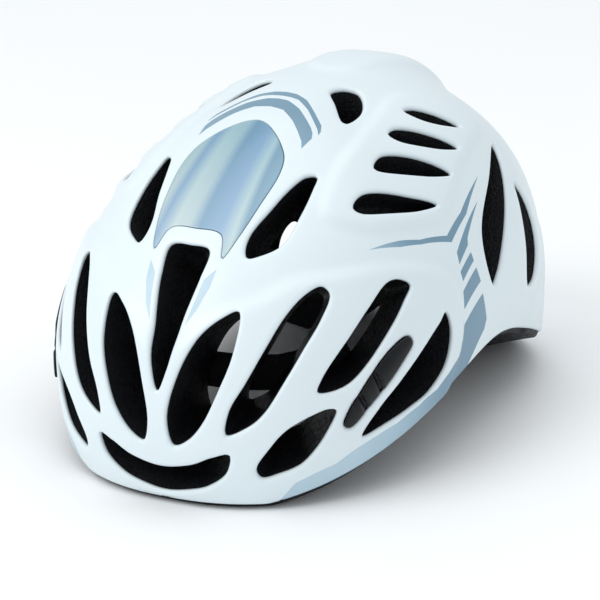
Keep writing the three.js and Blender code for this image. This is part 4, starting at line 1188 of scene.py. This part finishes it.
for part in frame["record"]["subparts"]:
    node = part["node"]
    if node in REPLACED:
        continue
    obj = NODES[node]
    obj.data.materials.clear()
    obj.data.materials.append(LOOKS[part["material_slot"]])
    bevel = obj.modifiers.new("rounded", "BEVEL")
    bevel.width = BEVELS.get(node, BEVEL) * MM
    bevel.segments = 2
    bevel.limit_method = "ANGLE"
    bevel.angle_limit = math.radians(40)
    bevel.harden_normals = True

# -------- stage, light and camera


FLOOR_HALF = 6
FLOOR_DROP = 0.0002
VIEW = dict(turn=25.9, rise=18.77, roll=-0.37, distance=1.316, target=(0, 0.0037, 0.060),
            lens=162, sensor=36, shift=(-0.0121, -0.0341))


def floor():
    made = Shader("floor", roughness=0.6)
    made.color(made.ramp(made.noise(3, 2), [(0.3, (0.955, 0.96, 0.965)), (0.7, (0.97, 0.975, 0.98))]))
    mesh = bpy.data.meshes.new("floor")
    corners = [(x * FLOOR_HALF, y * FLOOR_HALF, 0) for x, y in ((-1, -1), (1, -1), (1, 1), (-1, 1))]
    mesh.from_pydata(corners, [], [(0, 1, 2, 3)])
    obj = bpy.data.objects.new("floor", mesh)
    obj.location.z = -FLOOR_DROP
    mesh.materials.append(made.material)
    bpy.context.scene.collection.objects.link(obj)
    obj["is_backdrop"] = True


def area_light(name, location, target, size, power, color):
    data = bpy.data.lights.new(name, "AREA")
    data.shape = "RECTANGLE"
    data.size = data.size_y = size
    data.energy = power
    data.color = color
    obj = bpy.data.objects.new(name, data)
    obj.location = location
    obj.rotation_euler = (Vector(target) - Vector(location)).to_track_quat("-Z", "Y").to_euler()
    bpy.context.scene.collection.objects.link(obj)


def camera():
    turn, rise, roll = (math.radians(VIEW[key]) for key in ("turn", "rise", "roll"))
    back = Vector((math.sin(turn) * math.cos(rise), -math.cos(turn) * math.cos(rise), math.sin(rise)))
    right = Vector((math.cos(turn), math.sin(turn), 0))
    up = back.cross(right)
    tilted = right * math.cos(roll) + up * math.sin(roll)
    data = bpy.data.cameras.new("camera")
    data.lens = VIEW["lens"]
    data.sensor_width = VIEW["sensor"]
    data.shift_x, data.shift_y = VIEW["shift"]
    obj = bpy.data.objects.new("camera", data)
    axes = Matrix((tilted, back.cross(tilted), back)).transposed().to_4x4()
    obj.matrix_world = Matrix.Translation(Vector(VIEW["target"]) + VIEW["distance"] * back) @ axes
    bpy.context.scene.collection.objects.link(obj)
    bpy.context.scene.camera = obj


world = bpy.data.worlds.new("studio")
world.use_nodes = True
background = world.node_tree.nodes["Background"].inputs
background["Color"].default_value = (0.93, 0.97, 1.0, 1)
background["Strength"].default_value = 0.74
bpy.context.scene.world = world
area_light("key", (-0.9, -1.3, 1.5), (0, 0, 0.08), 1.2, 15, (1.0, 0.99, 0.97))
area_light("top", (0.1, 0.2, 2.4), (0, 0, 0.1), 2.6, 16, (1, 1, 1))
floor()
camera()
bpy.context.scene.view_settings.view_transform = "Standard"

low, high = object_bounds()
